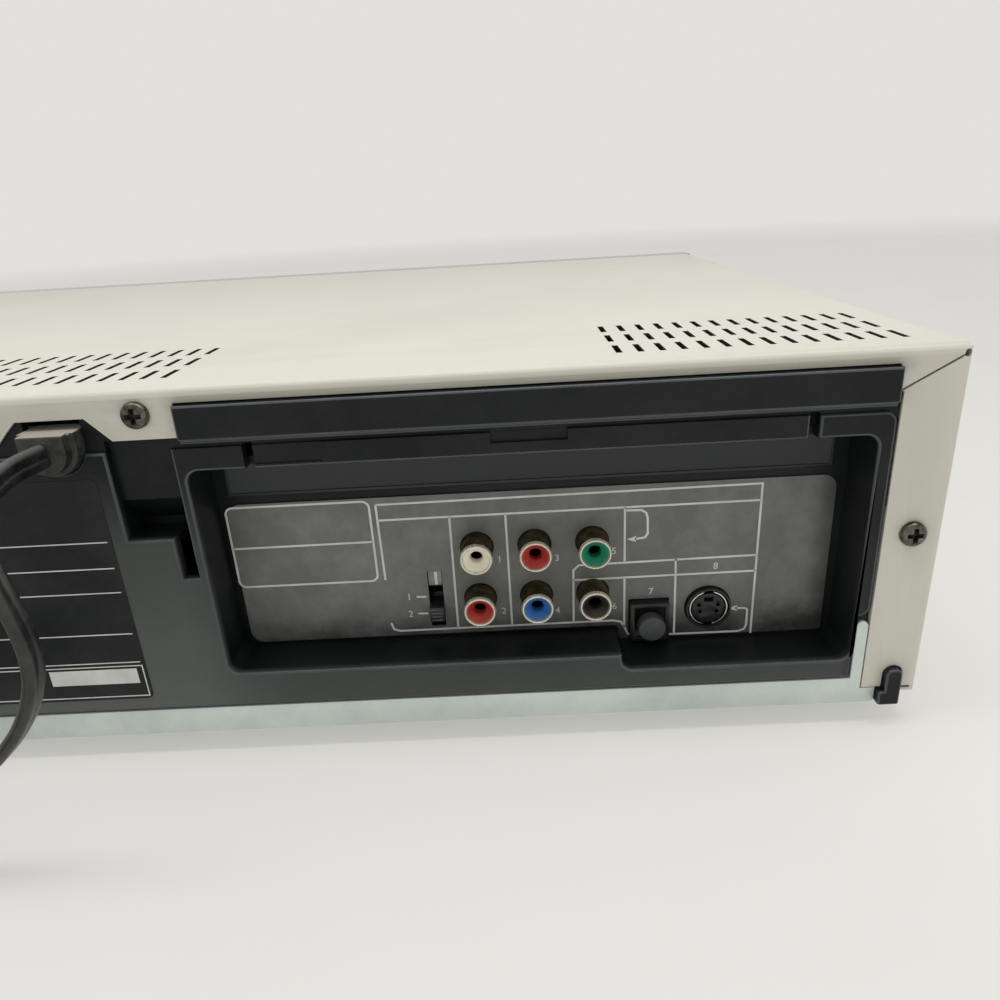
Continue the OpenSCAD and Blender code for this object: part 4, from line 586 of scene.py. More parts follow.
# Standoffs
# Moulded posts on the floor pan, each with a square foot and a hole for a screw.
inner_plastic = new_finish("inner_plastic", (40, 42, 44), (52, 54, 56), 30, (0.45, 0.6), 0.15)
dressed("standoffs", "board_standoffs", "case", inner_plastic)

# Rear panel
# One moulding of black plastic with a fine satin grain: raised face, visor, two jack
# recesses and the slot for the lead. Years of handling have left it smudged with dust.
# Its lower face is lightened further, partly by dust and partly as a painted reflection
# of the floor.
REAR_CORNER = (-215, 141, 11)
CLIP_TAB = ((-130, -50), (79.6, 85.3))
# Each film and limit: an axis, where it starts and is full along it, and its share.
# The film at the foot lightens the lower face: partly dust, partly a painted reflection of the
# floor.
SHEEN_AND_DUST_AT_THE_FOOT = ("Z", 0.062, 0.016, 0.42)
FILM_AT_THE_MIDDLE = ("X", -0.055, -0.03, 0.44)
FILM_LIMITS = [("Z", 0.08, 0.06), ("Y", 0.1385, 0.1405), ("X", -0.2, -0.194)]
panel_plastic = dusty(new_finish("panel_plastic", (9, 12, 14), (16, 20, 22), 18, (0.3, 0.44),
                                 0.12, 0.0, 1600), (96, 100, 98), 0.1, 26)
panel_plastic.node_tree.nodes["Principled BSDF"].inputs["Specular IOR Level"].default_value = 0.22


def between(tree, axis, low, high, share=1.0):
    """Grows from nothing at one place along an axis to a share at another."""
    spot = tree.nodes.new("ShaderNodeSeparateXYZ")
    tree.links.new(tree.nodes["Texture Coordinate"].outputs["Object"], spot.inputs["Vector"])
    return ranged(tree, spot.outputs[axis], low, high, most=share)


def more_dust_and_painted_light(tree, film, *limits):
    """Adds a film in the finish's dust colour, held inside limits along the axes. Some films
    lay dust, some painted shade and some a painted reflection of the floor, as noted where
    they are set.
    """
    for limit in limits:
        film = put_together(tree, "MULTIPLY", film, between(tree, *limit))
    film = put_together(tree, "ADD", film, tree.nodes["dust_amount"].outputs["Value"])
    tree.links.new(film, tree.nodes["dust_and_painted_light"].inputs[TINT_SHARE])


tree = panel_plastic.node_tree
film = put_together(tree, "ADD", between(tree, *SHEEN_AND_DUST_AT_THE_FOOT),
                    between(tree, *FILM_AT_THE_MIDDLE))
more_dust_and_painted_light(tree, film, *FILM_LIMITS)
# A lighter satin finish for the broken edges of the panel: a painted highlight along its lips and
# edges.
panel_edge_highlight = new_finish("panel_edge_highlight", (54, 60, 62), (70, 76, 78), 90, (0.3, 0.42), 0.1)
rear_panel = dressed("rear_panel", "rear_moulding", "case", panel_plastic)
rear_panel.data.materials.append(panel_edge_highlight)


def on_the_face(x, y, z):
    """On the outer face of the panel, but for the clip tab over the recess."""
    (x0, x1), (z0, z1) = CLIP_TAB
    return abs(y - REAR_CORNER[1]) < 0.02 and not (z0 < z < z1 and x0 < x < x1)


def out_of_the_face(x, y, z):
    """On what stands out of that face, such as the visor."""
    return y > REAR_CORNER[1] + 0.9


def lips_broken(piece, width, chosen, steps, finish):
    """Rounds the sharp edges of a piece whose two ends are both chosen by place, and
    gives the new faces one of its finishes."""
    opened(piece)
    bpy.ops.mesh.select_mode(type="EDGE")
    bpy.ops.mesh.select_all(action="DESELECT")
    bpy.ops.mesh.edges_select_sharp(sharpness=math.radians(32))
    bpy.ops.object.mode_set(mode="OBJECT")
    corners = piece.data.vertices
    for edge in piece.data.edges:
        edge.select = edge.select and all(chosen(*(1000 * corners[v].co)) for v in edge.vertices)
    for other in (*piece.data.polygons, *corners):
        other.select = False
    bpy.ops.object.mode_set(mode="EDIT")
    bpy.ops.mesh.bevel(offset=width / 1000, segments=steps, clamp_overlap=False, material=finish)
    bpy.ops.mesh.select_mode(type="VERT")
    bpy.ops.object.mode_set(mode="OBJECT")
    smoothed(40)


# The new edge faces get the lighter finish, which is a painted highlight.
lips_broken(rear_panel, 0.6, on_the_face, 3, 1)
lips_broken(rear_panel, 0.45, out_of_the_face, 2, 1)


def rear(a, b, c):
    """A point on the rear in metres: a from the -X side, b up from the edge of the
    cover, c out of its rear face, all in millimetres."""
    x, y, z = REAR_CORNER
    return Vector(((a + x) / 1000, (y + c) / 1000, (z + b) / 1000))


# The recess carries a bare raised frame along the top of its back wall.
RAISED_PLACE = (97.6, 61, -13.9)
RAISED_SIZE = (151, 0.5, 9.6)
RAISED_WIDE, RAISED_DEEP = 0.7, 0.4
frame_bar = shaped_bar("recess_frame", 1000 * rear(*RAISED_PLACE), RAISED_SIZE)
faces_picked(frame_bar, lambda face: face.normal.y > 0.9)
bpy.ops.mesh.inset(thickness=RAISED_WIDE / 1000)
bpy.ops.mesh.extrude_region_move(TRANSFORM_OT_translate={"value": (0, -RAISED_DEEP / 1000, 0)})
editing_ended()
rounded_off(frame_bar, 0.12, 2)
recess_film = new_finish("recess_film", (20, 25, 28), (30, 35, 38), 40, (0.36, 0.5), 0.1)
settled(frame_bar, "case", "black_plastic", recess_film)

# Jack plates
# Thin steel plates lacquered black and screen printed in white: frames that group the
# jacks, arrows from the heading to the jacks it covers, and plain numbers beside them.
PLATE_FACE = -13.99
PRINT_WIDE = 0.55
PRINT_THICK = 0.04
NUMBER_HIGH = 1.9
FACE_SIZE = 1.4       # times the height of its numbers
# An extra film of dust over the plate that fades out towards its -X end and its foot: the fade is
# painted shade from the recess walls.
DUST_CLEAR_OF_THE_SHADED_END = ("X", -0.197, -0.1895, 0.5)
SHADED_FOOT_LIMIT = ("Z", 0.0225, 0.031)
plate_lacquer = dusty(new_finish("plate_lacquer", (30, 33, 33), (42, 45, 44), 30, (0.34, 0.48),
                                 0.04), (134, 136, 132), 0.34, 90)
more_dust_and_painted_light(plate_lacquer.node_tree, between(plate_lacquer.node_tree, *DUST_CLEAR_OF_THE_SHADED_END),
          SHADED_FOOT_LIMIT)
dressed("jack_plate", "jack_plates", "case", plate_lacquer, merged=False)
PRINTED_LINES = [
    [(136.5, 51.9), (39.0, 52.4), (39.2, 8.9)],
    [(136.5, 51.9), (136.3, 30.5)],
    [(136.3, 47.6), (39.2, 47.9)],
    [(118.1, 47.6), (118.2, 14.9)],
    [(103.8, 47.6), (103.6, 15.0)],
    [(73.4, 47.8), (73.4, 32.3)],
    [(73.4, 27.7), (73.4, 12.6)],
    [(39.2, 32.5), (85.4, 32.0), (86.8, 30.6), (87.0, 15.0)],
    [(86.9, 27.7), (39.1, 27.9)],
    [(60.1, 32.4), (60.0, 28.1)], [(60.0, 27.5), (59.9, 9.9)],
    [(136.2, 17.4), (135.6, 15.4), (134.0, 14.8), (76.4, 14.9), (74.3, 14.4), (73.2, 12.4),
     (72.4, 10.5), (70.9, 9.8), (42.6, 9.7), (41.0, 10.3), (40.5, 11.6), (40.5, 16.3),
     (41.2, 16.8), (43.7, 16.9)],
    [(73.2, 46.9), (69.2, 46.8), (68.0, 46.0), (67.6, 44.6), (67.5, 40.2), (68.2, 39.1),
     (70.8, 38.8)],
    [(128.6, 25.0), (126.0, 24.9)], [(128.6, 19.9), (126.0, 19.8)],
    [(174.8, 41.6), (138.3, 41.7)],
]
AV_LINES = [[(338, 53.6), (372, 53.6)]]
BOXES = [(138.2, 174.8, 30.4, 53.0, 1.8), (334.6, 376, 14.6, 57.5, 2),
         (380.6, 406.4, 14.6, 57.5, 1.6)]
ARROW_HEADS = [((44.6, 16.9), 1), ((71.8, 38.8), 1)]
NUMBERS = [("1", 105.9, 34.0), ("2", 105.6, 18.6), ("3", 91.0, 33.6), ("4", 91.2, 18.0),
           ("5", 76.2, 34.8), ("6", 76.0, 18.4), ("7", 66.4, 22.4), ("8", 49.6, 29.0),
           ("1", 130.6, 24.2), ("2", 130.6, 19.0)]


def printed_strip(points, wide, c):
    """A flat line of ink along points of the rear, mitred where it bends."""
    line = [Vector(p) for p in points]
    closed = (line[0] - line[-1]).length < 0.01
    left, right = [], []
    for i, point in enumerate(line):
        before = point - line[i - 1] if i else (line[-1] - line[-2] if closed else line[1] - point)
        after = (line[i + 1] - point if i + 1 < len(line)
                 else (line[1] - line[0] if closed else point - line[-2]))
        before, after = before.normalized(), after.normalized()
        way = (before + after).normalized()
        side = Vector((-way.y, way.x)) * (wide / 2 / max(0.5, way.dot(after)))
        left.append(rear(*(point + side), c))
        right.append(rear(*(point - side), c))
    n = len(line)
    faces = [(i, i + 1, n + i + 1, n + i) for i in range(n - 1)]
    return from_faces("strip", left + right, faces)


def round_box(a0, a1, b0, b1, r):
    """The outline of a box with round corners, closed, for a printed line."""
    line = []
    for a, b, start in ((a1 - r, b1 - r, 0), (a0 + r, b1 - r, 90), (a0 + r, b0 + r, 180),
                        (a1 - r, b0 + r, 270)):
        for k in range(7):
            angle = math.radians(start + 15 * k)
            line.append((a + r * math.cos(angle), b + r * math.sin(angle)))
    return line + line[:1]


def printed_number(text, a, b):
    """A number in the plain built-in face, read from behind the machine."""
    bpy.ops.object.select_all(action="DESELECT")
    bpy.ops.object.text_add(location=(0, 0, 0))
    number = bpy.context.object
    number.data.body = text
    number.data.size = NUMBER_HIGH * FACE_SIZE / 1000
    number.data.align_x = "CENTER"
    bpy.ops.object.convert(target="MESH")
    number.data.transform(Matrix.Translation(rear(a, b, PLATE_FACE))
                          @ Matrix.Rotation(math.pi, 4, "Z")
                          @ Matrix.Rotation(math.pi / 2, 4, "X"))
    return number


def thickened(piece, thickness):
    """Gives a flat print a thickness, from its underside outwards."""
    opened(piece)
    bpy.ops.mesh.select_all(action="SELECT")
    bpy.ops.mesh.remove_doubles(threshold=0.000001)
    bpy.ops.mesh.extrude_region_move(TRANSFORM_OT_translate={"value": (0, thickness / 1000, 0)})
    faces_outwards()


def arrow_head(at, way):
    """A small solid arrow head that points towards +a or -a."""
    a, b = at
    corners = [(a + 1.1 * way, b), (a - 1.3 * way, b + 0.85), (a - 1.3 * way, b - 0.85)]
    return from_faces("head", [rear(*corner, PLATE_FACE) for corner in corners], [(0, 1, 2)])


white_ink = new_finish("white_ink", (196, 198, 194), (222, 223, 219), 120, (0.4, 0.55), 0.05)
ink = [printed_strip(points, PRINT_WIDE, PLATE_FACE) for points in PRINTED_LINES + AV_LINES]
ink += [printed_strip(round_box(*box), PRINT_WIDE, PLATE_FACE) for box in BOXES]
ink += [arrow_head(at, way) for at, way in ARROW_HEADS]
ink += [printed_number(text, a, b) for text, a, b in NUMBERS]
ink = joined("plate_print", ink)
thickened(ink, PRINT_THICK)
settled(ink, "case", "white_plastic", white_ink)

# Phono jacks
# Each is a rolled brass sleeve, plated and by now dull with grime, with a bright turned
# lip and a coloured moulded insert that tapers to the hole for the plug's pin. The lip's
# near-white tone is partly its nickel and partly a painted highlight.
JACK_FACE = -6.0
JACK_COLUMNS = [81.8, 96.7, 111.6]
JACK_ROWS = [38.7, 23.8]
AV_COLUMNS = [346, 360.9]
AV_ROWS = [51.8, 36.9, 22]
FRONT_FACE = -142
FRONT_JACKS = [168, 182, 196]
FRONT_JACK_Z = 24


def turned_up(name, rings, place, sides=48):
    """A round piece raised ring by ring from (radius, height) pairs, then set in place.
    A ring of 0.02 mm closes to a point."""
    bpy.ops.object.select_all(action="DESELECT")
    first = rings[0]
    bpy.ops.mesh.primitive_circle_add(vertices=sides, radius=first[0] / 1000,
                                      location=(0, 0, first[1] / 1000))
    piece = bpy.context.object
    bpy.ops.object.transform_apply(location=True)
    piece.name = piece.data.name = name
    bpy.ops.object.mode_set(mode="EDIT")
    bpy.ops.mesh.select_all(action="SELECT")
    for before, after in zip(rings, rings[1:]):
        share = after[0] / before[0]
        bpy.ops.mesh.extrude_region_move(
            TRANSFORM_OT_translate={"value": (0, 0, (after[1] - before[1]) / 1000)})
        bpy.ops.transform.resize(value=(share, share, 1), center_override=(0, 0, 0))
    bpy.ops.mesh.select_all(action="SELECT")
    bpy.ops.mesh.remove_doubles(threshold=0.00002)
    faces_outwards()
    smoothed(40)
    piece.data.transform(place)
    return piece


def facing_rear(a, b, c):
    """Sets a round piece at a point of the rear, with its top out of it."""
    return Matrix.Translation(rear(a, b, c)) @ Matrix.Rotation(-math.pi / 2, 4, "X")


def facing_front(x, y, z):
    """Sets a round piece at a point, with its top towards the front."""
    return Matrix.Translation((x / 1000, y / 1000, z / 1000)) @ Matrix.Rotation(math.pi / 2, 4, "X")


SLEEVE_RINGS = [(3.4, -13.4), (4.1, -13.4), (4.1, -0.9), (4.02, -0.8), (3.42, -0.8), (3.4, -13.4)]
LIP_RINGS = [(3.42, -1.2), (4.13, -1.2), (4.18, -0.75), (4.05, -0.2), (3.85, 0.0), (3.62, -0.02),
             (3.45, -0.25), (3.42, -1.2)]
INSERT_RINGS = [(0.02, -4.5), (1.6, -4.5), (1.62, -2.2), (1.78, -1.9), (2.55, -1.15), (2.85, -0.55),
                (3.0, -0.4), (3.12, -0.55), (3.38, -0.55), (3.38, -4.5), (0.02, -4.5)]
jack_places = ([facing_rear(a, b, JACK_FACE) for b in JACK_ROWS for a in JACK_COLUMNS]
               + [facing_rear(a, b, JACK_FACE) for b in AV_ROWS for a in AV_COLUMNS])
front_places = [facing_front(x, FRONT_FACE, FRONT_JACK_Z) for x in FRONT_JACKS]
sleeve_gilt = dusty(new_finish("sleeve_gilt", (46, 42, 30), (120, 108, 76), 300, (0.3, 0.55),
                               0.35, 0.8), (30, 28, 22), 0.85, 420)
# Near-white and only half metallic: the lip's own nickel with a painted highlight in it.
lip_nickel_and_highlight = new_finish("lip_nickel_and_highlight", (214, 206, 186), (236, 230, 212), 500, (0.22, 0.36),
                        0.1, 0.55)
sleeves = [turned_up("sleeve", SLEEVE_RINGS, p) for p in jack_places + front_places]
settled(joined("jack_sleeves", sleeves), "case", "plated_metal", sleeve_gilt, "rca_barrels")
lips = [turned_up("lip", LIP_RINGS, p) for p in jack_places + front_places]
settled(joined("jack_lips", lips), "case", "plated_metal", lip_nickel_and_highlight)
# A colour, its two shades, and the jacks that have it at the rear and at the front.
INSERTS = [
    ("green", (20, 112, 84), (34, 142, 110), [0], []),
    ("red", (150, 44, 40), (182, 66, 58), [1, 5, 10, 11], [2]),
    ("blue", (34, 82, 146), (62, 118, 184), [4], []),
    ("black", (34, 30, 24), (52, 46, 36), [3], []),
    ("white", (226, 222, 200), (240, 237, 220), [2, 8, 9], [1]),
    ("yellow", (206, 162, 22), (228, 186, 44), [6, 7], [0]),
]
for colour, dark, light, at_rear, at_front in INSERTS:
    moulded = new_finish(colour + "_insert", dark, light, 220, (0.3, 0.45), 0.08)
    parts = [turned_up("insert", INSERT_RINGS, jack_places[i]) for i in at_rear]
    parts += [turned_up("insert", INSERT_RINGS, front_places[i]) for i in at_front]
    settled(joined(colour + "_inserts", parts), "case", colour + "_plastic", moulded,
            "rca_" + colour)

# Round video socket
# A four-pin socket: black body, a thin shield ring with a gap above and below, and a
# moulded core with four pin holes and a square key.
socket_plastic = new_finish("socket_plastic", (14, 15, 17), (26, 28, 31), 60, (0.3, 0.45), 0.1)
dressed("svideo_jack", "video_socket", "case", socket_plastic, 0.12)
SHIELD_RINGS = [(4.72, -4.0), (5.0, -4.0), (5.0, 0.0), (4.72, 0.0), (4.72, -4.0)]
SHIELD_GAP = 28
SHIELD_PLACE = (51.2, 17.9, -12.9)


def in_a_gap(face):
    """Close to straight above or straight below the middle of the socket."""
    from_upright = math.degrees(math.atan2(face.center.x, abs(face.center.y)))
    return abs(from_upright) < SHIELD_GAP / 2


shield = turned_up("socket_shield", SHIELD_RINGS, Matrix.Identity(4), 72)
faces_picked(shield, in_a_gap)
bpy.ops.mesh.delete(type="FACE")
bpy.ops.mesh.select_all(action="SELECT")
bpy.ops.mesh.fill_holes(sides=4)
bpy.ops.mesh.normals_make_consistent(inside=False)
editing_ended()
shield.data.transform(facing_rear(*SHIELD_PLACE))
shield_nickel = new_finish("shield_nickel", (190, 190, 186), (226, 226, 222), 300, (0.2, 0.34),
                           0.05, 1.0)
settled(shield, "case", "plated_metal", shield_nickel)

# Optical port and its cap
# A square black housing with a round port, shut by a push-in cap of softer plastic that
# keeps dust out until it is pulled.
dressed("optical_jack", "optical_housing", "case", socket_plastic, 0.15)
cap_plastic = dusty(new_finish("cap_plastic", (52, 54, 57), (66, 68, 71), 90, (0.5, 0.62), 0.2),
                    (96, 98, 98), 0.15, 200)
dressed("optical_cap", "optical_dust_cap", "optical_cap", cap_plastic, 0.25)

# Jack boards
# Two green boards behind the panel, with the black moulded housings of the jacks and
# the switch standing on them.
BOARD_SURFACE = 0.1199
board_green = new_finish("board_green", (34, 62, 34), (52, 88, 48), 90, (0.3, 0.5), 0.3)
boards = dressed("jack_boards", "boards_and_housings", "case", board_green,
                 merged=False)


def partly_coated(piece, finish, chosen):
    """Gives the chosen faces of a piece a second finish."""
    piece.data.materials.append(finish)
    for face in piece.data.polygons:
        if chosen(face):
            face.material_index = 1


partly_coated(boards, socket_plastic, lambda face: face.center.y > BOARD_SURFACE)

# Select switch
# A slide switch behind the plate, with a plated steel slide. Its moulded black knob is
# ribbed for the finger and moves between two clicks.
KNOB_A = 123.3
KNOB_RIB = (3.0, 0.34, 0.42)
LOWEST_RIB = 18.9
RIB_PITCH = 1.02
RIB_FACE = -11.75
SLIDE_PLACE, SLIDE_SIZE = (KNOB_A, 30.1, -14.6), (3.6, 0.5, 4.2)
GLINT_PLACE, GLINT_SIZE = (123.0, 30.2, -14.3), (0.8, 0.3, 3.8)
knob_plastic = new_finish("knob_plastic", (24, 25, 27), (40, 41, 44), 120, (0.28, 0.42), 0.1)
dressed("switch_knob", "select_knob", "switch_knob", knob_plastic, 0.1)
ribs = []
for step in range(4):
    rib = shaped_bar("knob_rib", 1000 * rear(KNOB_A, LOWEST_RIB + RIB_PITCH * step, RIB_FACE),
                     KNOB_RIB)
    rounded_off(rib, 0.13, 2)
    ribs.append(rib)
rib_worn = new_finish("rib_worn", (66, 68, 70), (92, 94, 96), 300, (0.3, 0.45), 0.1)
settled(joined("knob_ribs", ribs), "switch_knob", "black_plastic", rib_worn)
slide = shaped_bar("slide_plate", 1000 * rear(*SLIDE_PLACE), SLIDE_SIZE)
rounded_off(slide, 0.12, 2)
slide_steel = dusty(new_finish("slide_steel", (118, 120, 120), (146, 148, 147), 260,
                               (0.34, 0.5), 0.1, 0.4), (90, 92, 90), 0.3, 300)
settled(slide, "case", "plated_metal", slide_steel)
# A thin bar in the white ink on the slide plate: a painted highlight.
glint_bar = shaped_bar("slide_glint", 1000 * rear(*GLINT_PLACE), GLINT_SIZE)
rounded_off(glint_bar, 0.12, 2)
settled(glint_bar, "case", "white_plastic", white_ink)

# Label
# A black foil label glued to the rear panel, left bare but for its fine ruled lines and
# an empty white field.
LABEL_A = (197.2, 327)
LABEL_B = (6.9, 67.4)
LABEL_ROUND = 1.6
FOIL_THICK = 0.12
FOIL_OUT = 0.04
RULE_WIDE = 0.3
RULE_THICK = 0.03
RULE_FACE = 0.1
FIELD_WIDE = 4.4
label_middle = (sum(LABEL_A) / 2, FOIL_OUT, sum(LABEL_B) / 2)
label = shaped_bar("label_foil", [at + corner for at, corner in zip(label_middle, REAR_CORNER)],
                   (LABEL_A[1] - LABEL_A[0], FOIL_THICK, LABEL_B[1] - LABEL_B[0]))
opened(label)
bpy.ops.mesh.select_all(action="DESELECT")
bpy.ops.mesh.select_mode(type="EDGE")
bpy.ops.object.mode_set(mode="OBJECT")
for edge in label.data.edges:
    start, end = [label.data.vertices[v].co for v in edge.vertices]
    edge.select = abs(start.y - end.y) > FOIL_THICK / 2000
bpy.ops.object.mode_set(mode="EDIT")
bpy.ops.mesh.bevel(offset=LABEL_ROUND / 1000, segments=6)
bpy.ops.object.mode_set(mode="OBJECT")
label_foil = dusty(new_finish("label_foil", (14, 17, 19), (22, 25, 27), 26, (0.3, 0.42), 0.04),
                   (110, 112, 108), 0.1, 40)
label_foil.node_tree.nodes["Principled BSDF"].inputs["Specular IOR Level"].default_value = 0.25
settled(label, "case", "printed_plate", label_foil)
LABEL_LINES = [[(198.4, b), (325.6, b)] for b in (51.5, 44.6, 38.0, 26.3, 18.0)]
LABEL_LINES += [[(198.2, 16.9), (325.6, 16.9), (325.6, 7.8), (198.2, 7.8), (198.2, 16.9)],
                [(262, 16.9), (262, 7.8)]]
rules = [printed_strip(points, RULE_WIDE, RULE_FACE) for points in LABEL_LINES]
rules.append(printed_strip([(199.8, 13.9), (222.5, 13.9)], FIELD_WIDE, RULE_FACE))
rules = joined("label_print", rules)
thickened(rules, RULE_THICK)
settled(rules, "case", "white_plastic", white_ink)

# Top cover
# One sheet of steel folded over the machine, with flanges turned down at the rear and
# cooling slots punched through; baked in a pale warm grey paint with a faint texture.
# The paint is darkened as painted shade on the rear flange just above the visor.
cover_paint = dusty(new_finish("cover_paint", (204, 202, 190), (212, 210, 199), 9, (0.42, 0.5),
                               0.16, 0.0, 2600), (150, 147, 128), 0.08, 7)
# The rear flange darkens downwards to the visor in the dust colour: painted shade where the visor
# hides it from the light.
SHADE_OVER_THE_VISOR = ("Z", 0.0985, 0.0948, 0.5)
SHADE_OVER_THE_VISOR_LIMITS = [("Y", 0.1385, 0.1405), ("X", -0.2035, -0.199), ("X", -0.036, -0.04),
                ("Z", 0.0925, 0.0945)]
more_dust_and_painted_light(cover_paint.node_tree, between(cover_paint.node_tree, *SHADE_OVER_THE_VISOR),
          *SHADE_OVER_THE_VISOR_LIMITS)
cover = dressed("top_cover", "folded_cover", "case", cover_paint, 0.12, 40)
# The upright walls of the slots get a near-black finish: painted shade inside the slots.
slot_shade = new_finish("slot_shade", (16, 16, 14), (30, 29, 26), 90, (0.6, 0.8), 0.1)
SLOTS_OVER = 0.0975
SLOTS_FROM, SLOTS_TO = 0.09, 0.135
SLOTS_REACH = 0.21


def in_a_slot(face):
    """An upright face within the sheet of the cover's top, where its slots are."""
    x, y, z = face.center
    return (abs(face.normal.z) < 0.5 and z > SLOTS_OVER and SLOTS_FROM < y < SLOTS_TO
            and abs(x) < SLOTS_REACH)


partly_coated(cover, slot_shade, in_a_slot)

# Cover screws
# Blackened pan-head screws, four at the rear and two in each side. The cross recess in
# the head narrows towards its bottom; its faces are near-black as painted shade.
SCREW_RINGS = [(0.02, -5.0), (1.5, -5.0), (1.5, 0.0), (3.1, 0.0), (3.1, 0.75), (2.98, 1.15),
               (2.7, 1.5), (2.2, 1.75), (1.4, 1.9), (0.02, 1.95)]
REAR_SCREWS = [(7.7, 43.3), (422.3, 43.3), (184.3, 82), (300, 82)]
SIDE_SCREWS = [(-70, 22), (80, 22)]
SIDE_FACE = 215
CROSS_LONG, CROSS_WIDE = 4.7, 1.4
CROSS_MIDDLE, CROSS_DEEP = 1.6, 1.8
CROSS_TAPER = 0.5
screw_places = [facing_rear(a, b, 0) for a, b in REAR_SCREWS]
screw_places += [Matrix.Translation((side * SIDE_FACE / 1000, y / 1000, z / 1000))
                 @ Matrix.Rotation(side * math.pi / 2, 4, "Y")
                 for side in (-1, 1) for y, z in SIDE_SCREWS]
screw_black = dusty(new_finish("screw_black", (52, 50, 46), (128, 124, 114), 500, (0.14, 0.28),
                               0.2, 0.95), (20, 19, 16), 0.6, 800)
# Near-black for the faces of the cross recess: painted shade in the hollow.
recess_shade = new_finish("recess_shade", (9, 9, 8), (20, 19, 17), 900, (0.5, 0.7), 0.2)


def cross_punch():
    """The point of the tool that shapes the recess: two crossed wedges."""
    wedges = []
    for across, along in ((CROSS_LONG, CROSS_WIDE), (CROSS_WIDE, CROSS_LONG)):
        wedge = shaped_bar("wedge", (0, 0, CROSS_MIDDLE), (across, along, CROSS_DEEP))
        for corner in wedge.data.vertices:
            if corner.co.z < CROSS_MIDDLE / 1000:
                corner.co.x *= CROSS_TAPER
                corner.co.y *= CROSS_TAPER
        coated(wedge, recess_shade)
        wedges.append(wedge)
    return wedges


screws = [turned_up("screw", SCREW_RINGS, Matrix.Identity(4))]
coated(screws[0], screw_black)
screws[0].data.materials.append(recess_shade)
for wedge in cross_punch():
    bite = screws[0].modifiers.new("bite", "BOOLEAN")
    bite.object = wedge
    bite.solver = "EXACT"
    bite.material_mode = "TRANSFER"
    only(screws[0])
    bpy.ops.object.modifier_apply(modifier="bite")
    bpy.data.objects.remove(wedge)
smoothed(35)
while len(screws) < len(screw_places):
    screws.append(screws[0].copy())
    screws[-1].data = screws[0].data.copy()
    scene.collection.objects.link(screws[-1])
for screw, place in zip(screws, screw_places):
    screw.data.transform(place)
screws = joined("black_screws", screws)
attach(screws, "case")
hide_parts("cover_screws")

# Front panel
# A moulding painted silver, with the display window, the tray slot and the cassette
# opening; its edges are rounded where it meets the cover.
front_paint = new_finish("front_paint", (168, 170, 173), (182, 184, 187), 24, (0.28, 0.38), 0.1,
                         0.45, 3200)
dressed("front_panel", "front_moulding", "case", front_paint, 0.3)
smoke = new_finish("smoke", (10, 11, 13), (16, 17, 20), 20, (0.06, 0.12), 0.0)
dressed("display_window", "smoked_window", "case", smoke, 0.4)

# Cassette flap
# A flap of the same painted plastic on two pins, pushed shut by a light spring.
flap_paint = new_finish("flap_paint", (160, 162, 165), (174, 176, 179), 24, (0.26, 0.36), 0.1,
                        0.45, 3200)
dressed("cassette_door", "cassette_flap", "cassette_door", flap_paint, 0.3)

# Keys
# Eight moulded caps on stems that press the switches of the front board, each with a
# small printed sign of what it does.
key_paint = new_finish("key_paint", (190, 192, 195), (204, 206, 208), 40, (0.22, 0.34), 0.08,
                       0.45, 2600)
KEYS = {"power_key": (-192, 34), "open_key": (-110, 49), "dvd_play_key": (-118, 30),
        "eject_key": (100, 49), "rewind_key": (80, 33), "play_key": (102, 33),
        "forward_key": (124, 33), "stop_key": (146, 33)}
SIGN_BACK = -142.98
SIGN_THICK = 0.07
TRIANGLE = [(-0.9, -1.1), (1.1, 0), (-0.9, 1.1)]
BAR = [(-1.7, -1.5), (1.7, -1.5), (1.7, -1.0), (-1.7, -1.0)]
UP = [(-1.7, -0.6), (1.7, -0.6), (0, 1.4)]


def moved(points, across, scale):
    """An outline drawn larger or smaller, turned round by a scale below 0, and set aside."""
    return [(x * scale + across, z * abs(scale)) for x, z in points]


def open_ring(inner, outer, gap):
    """The outline of a ring with a gap at its top."""
    turn = [math.radians(gap / 2 + (360 - gap) * k / 24) for k in range(25)]
    return ([(outer * math.sin(a), outer * math.cos(a)) for a in turn]
            + [(inner * math.sin(a), inner * math.cos(a)) for a in reversed(turn)])


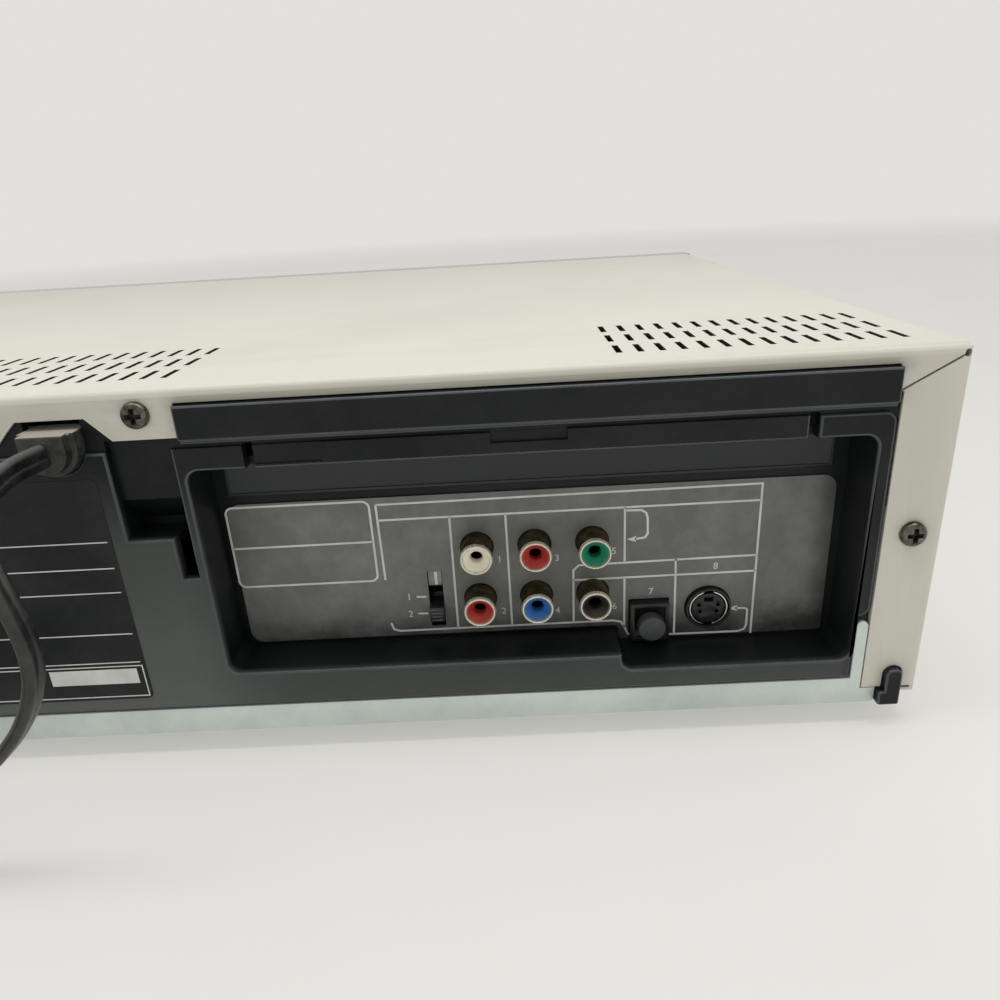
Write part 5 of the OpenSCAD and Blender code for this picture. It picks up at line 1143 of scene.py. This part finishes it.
SIGNS = {"power_key": [open_ring(1.9, 2.5, 64), [(-0.3, 0.6), (0.3, 0.6), (0.3, 2.9), (-0.3, 2.9)]],
         "open_key": [UP, BAR], "eject_key": [UP, BAR],
         "dvd_play_key": [moved(TRIANGLE, 0, 1.5)], "play_key": [moved(TRIANGLE, 0, 1.5)],
         "rewind_key": [moved(TRIANGLE, -1.1, -1.1), moved(TRIANGLE, 1.1, -1.1)],
         "forward_key": [moved(TRIANGLE, -1.1, 1.1), moved(TRIANGLE, 1.1, 1.1)],
         "stop_key": [[(-1.3, -1.3), (1.3, -1.3), (1.3, 1.3), (-1.3, 1.3)]]}
sign_ink = new_finish("sign_ink", (52, 54, 58), (66, 68, 72), 300, (0.4, 0.5), 0.05)
for key, (x, z) in KEYS.items():
    dressed(key, key.replace("_key", "_cap"), key, key_paint, 0.45)
    signs = []
    for outline in SIGNS[key]:
        corners = [((x + across) / 1000, SIGN_BACK / 1000, (z + up) / 1000)
                   for across, up in outline]
        signs.append(from_faces("sign", corners, [tuple(range(len(corners)))]))
    sign = joined(key.replace("_key", "_sign"), signs)
    thickened(sign, -SIGN_THICK)
    settled(sign, key, "black_plastic", sign_ink)

# Disc tray
# A moulded drawer with a dished floor for the disc; its front plate matches the panel.
dressed("disc_tray", "disc_drawer", "disc_tray", front_paint, 0.3)

# What lies inside
# Boards, loader and tape deck: each keeps its own shape and gets its real finish.
bright_zinc = new_finish("bright_zinc", (146, 149, 151), (172, 175, 177), 60, (0.32, 0.46), 0.06,
                         0.85)
turned_aluminium = new_finish("turned_aluminium", (168, 170, 174), (188, 190, 194), 50,
                              (0.2, 0.3), 0.03, 1.0)
nylon = new_finish("nylon", (214, 212, 202), (228, 226, 217), 50, (0.4, 0.52), 0.08)
belt_rubber = new_finish("belt_rubber", (20, 20, 20), (32, 32, 31), 80, (0.6, 0.8), 0.2)
INSIDE = [
    (board_green, ["front_board", "circuit_boards"]),
    (inner_plastic, ["circuit_parts", "loader_frame", "traverse", "pinch_arm", "idler"]),
    (bright_zinc, ["aerial_tuner", "drive_motors", "clamp_bridge", "deck_plate",
                   "basket_carriage", "cassette_basket", "pickup_sled", "turntable"]),
    (turned_aluminium, ["tape_path", "upper_drum", "capstan"]),
    (nylon, ["tray_gear", "motor_pulley", "clamper", "supply_reel", "takeup_reel"]),
    (belt_rubber, ["drive_belt", "pinch_roller"]),
]
for finish, members in INSIDE:
    for node in members:
        coated(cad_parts[node], finish)
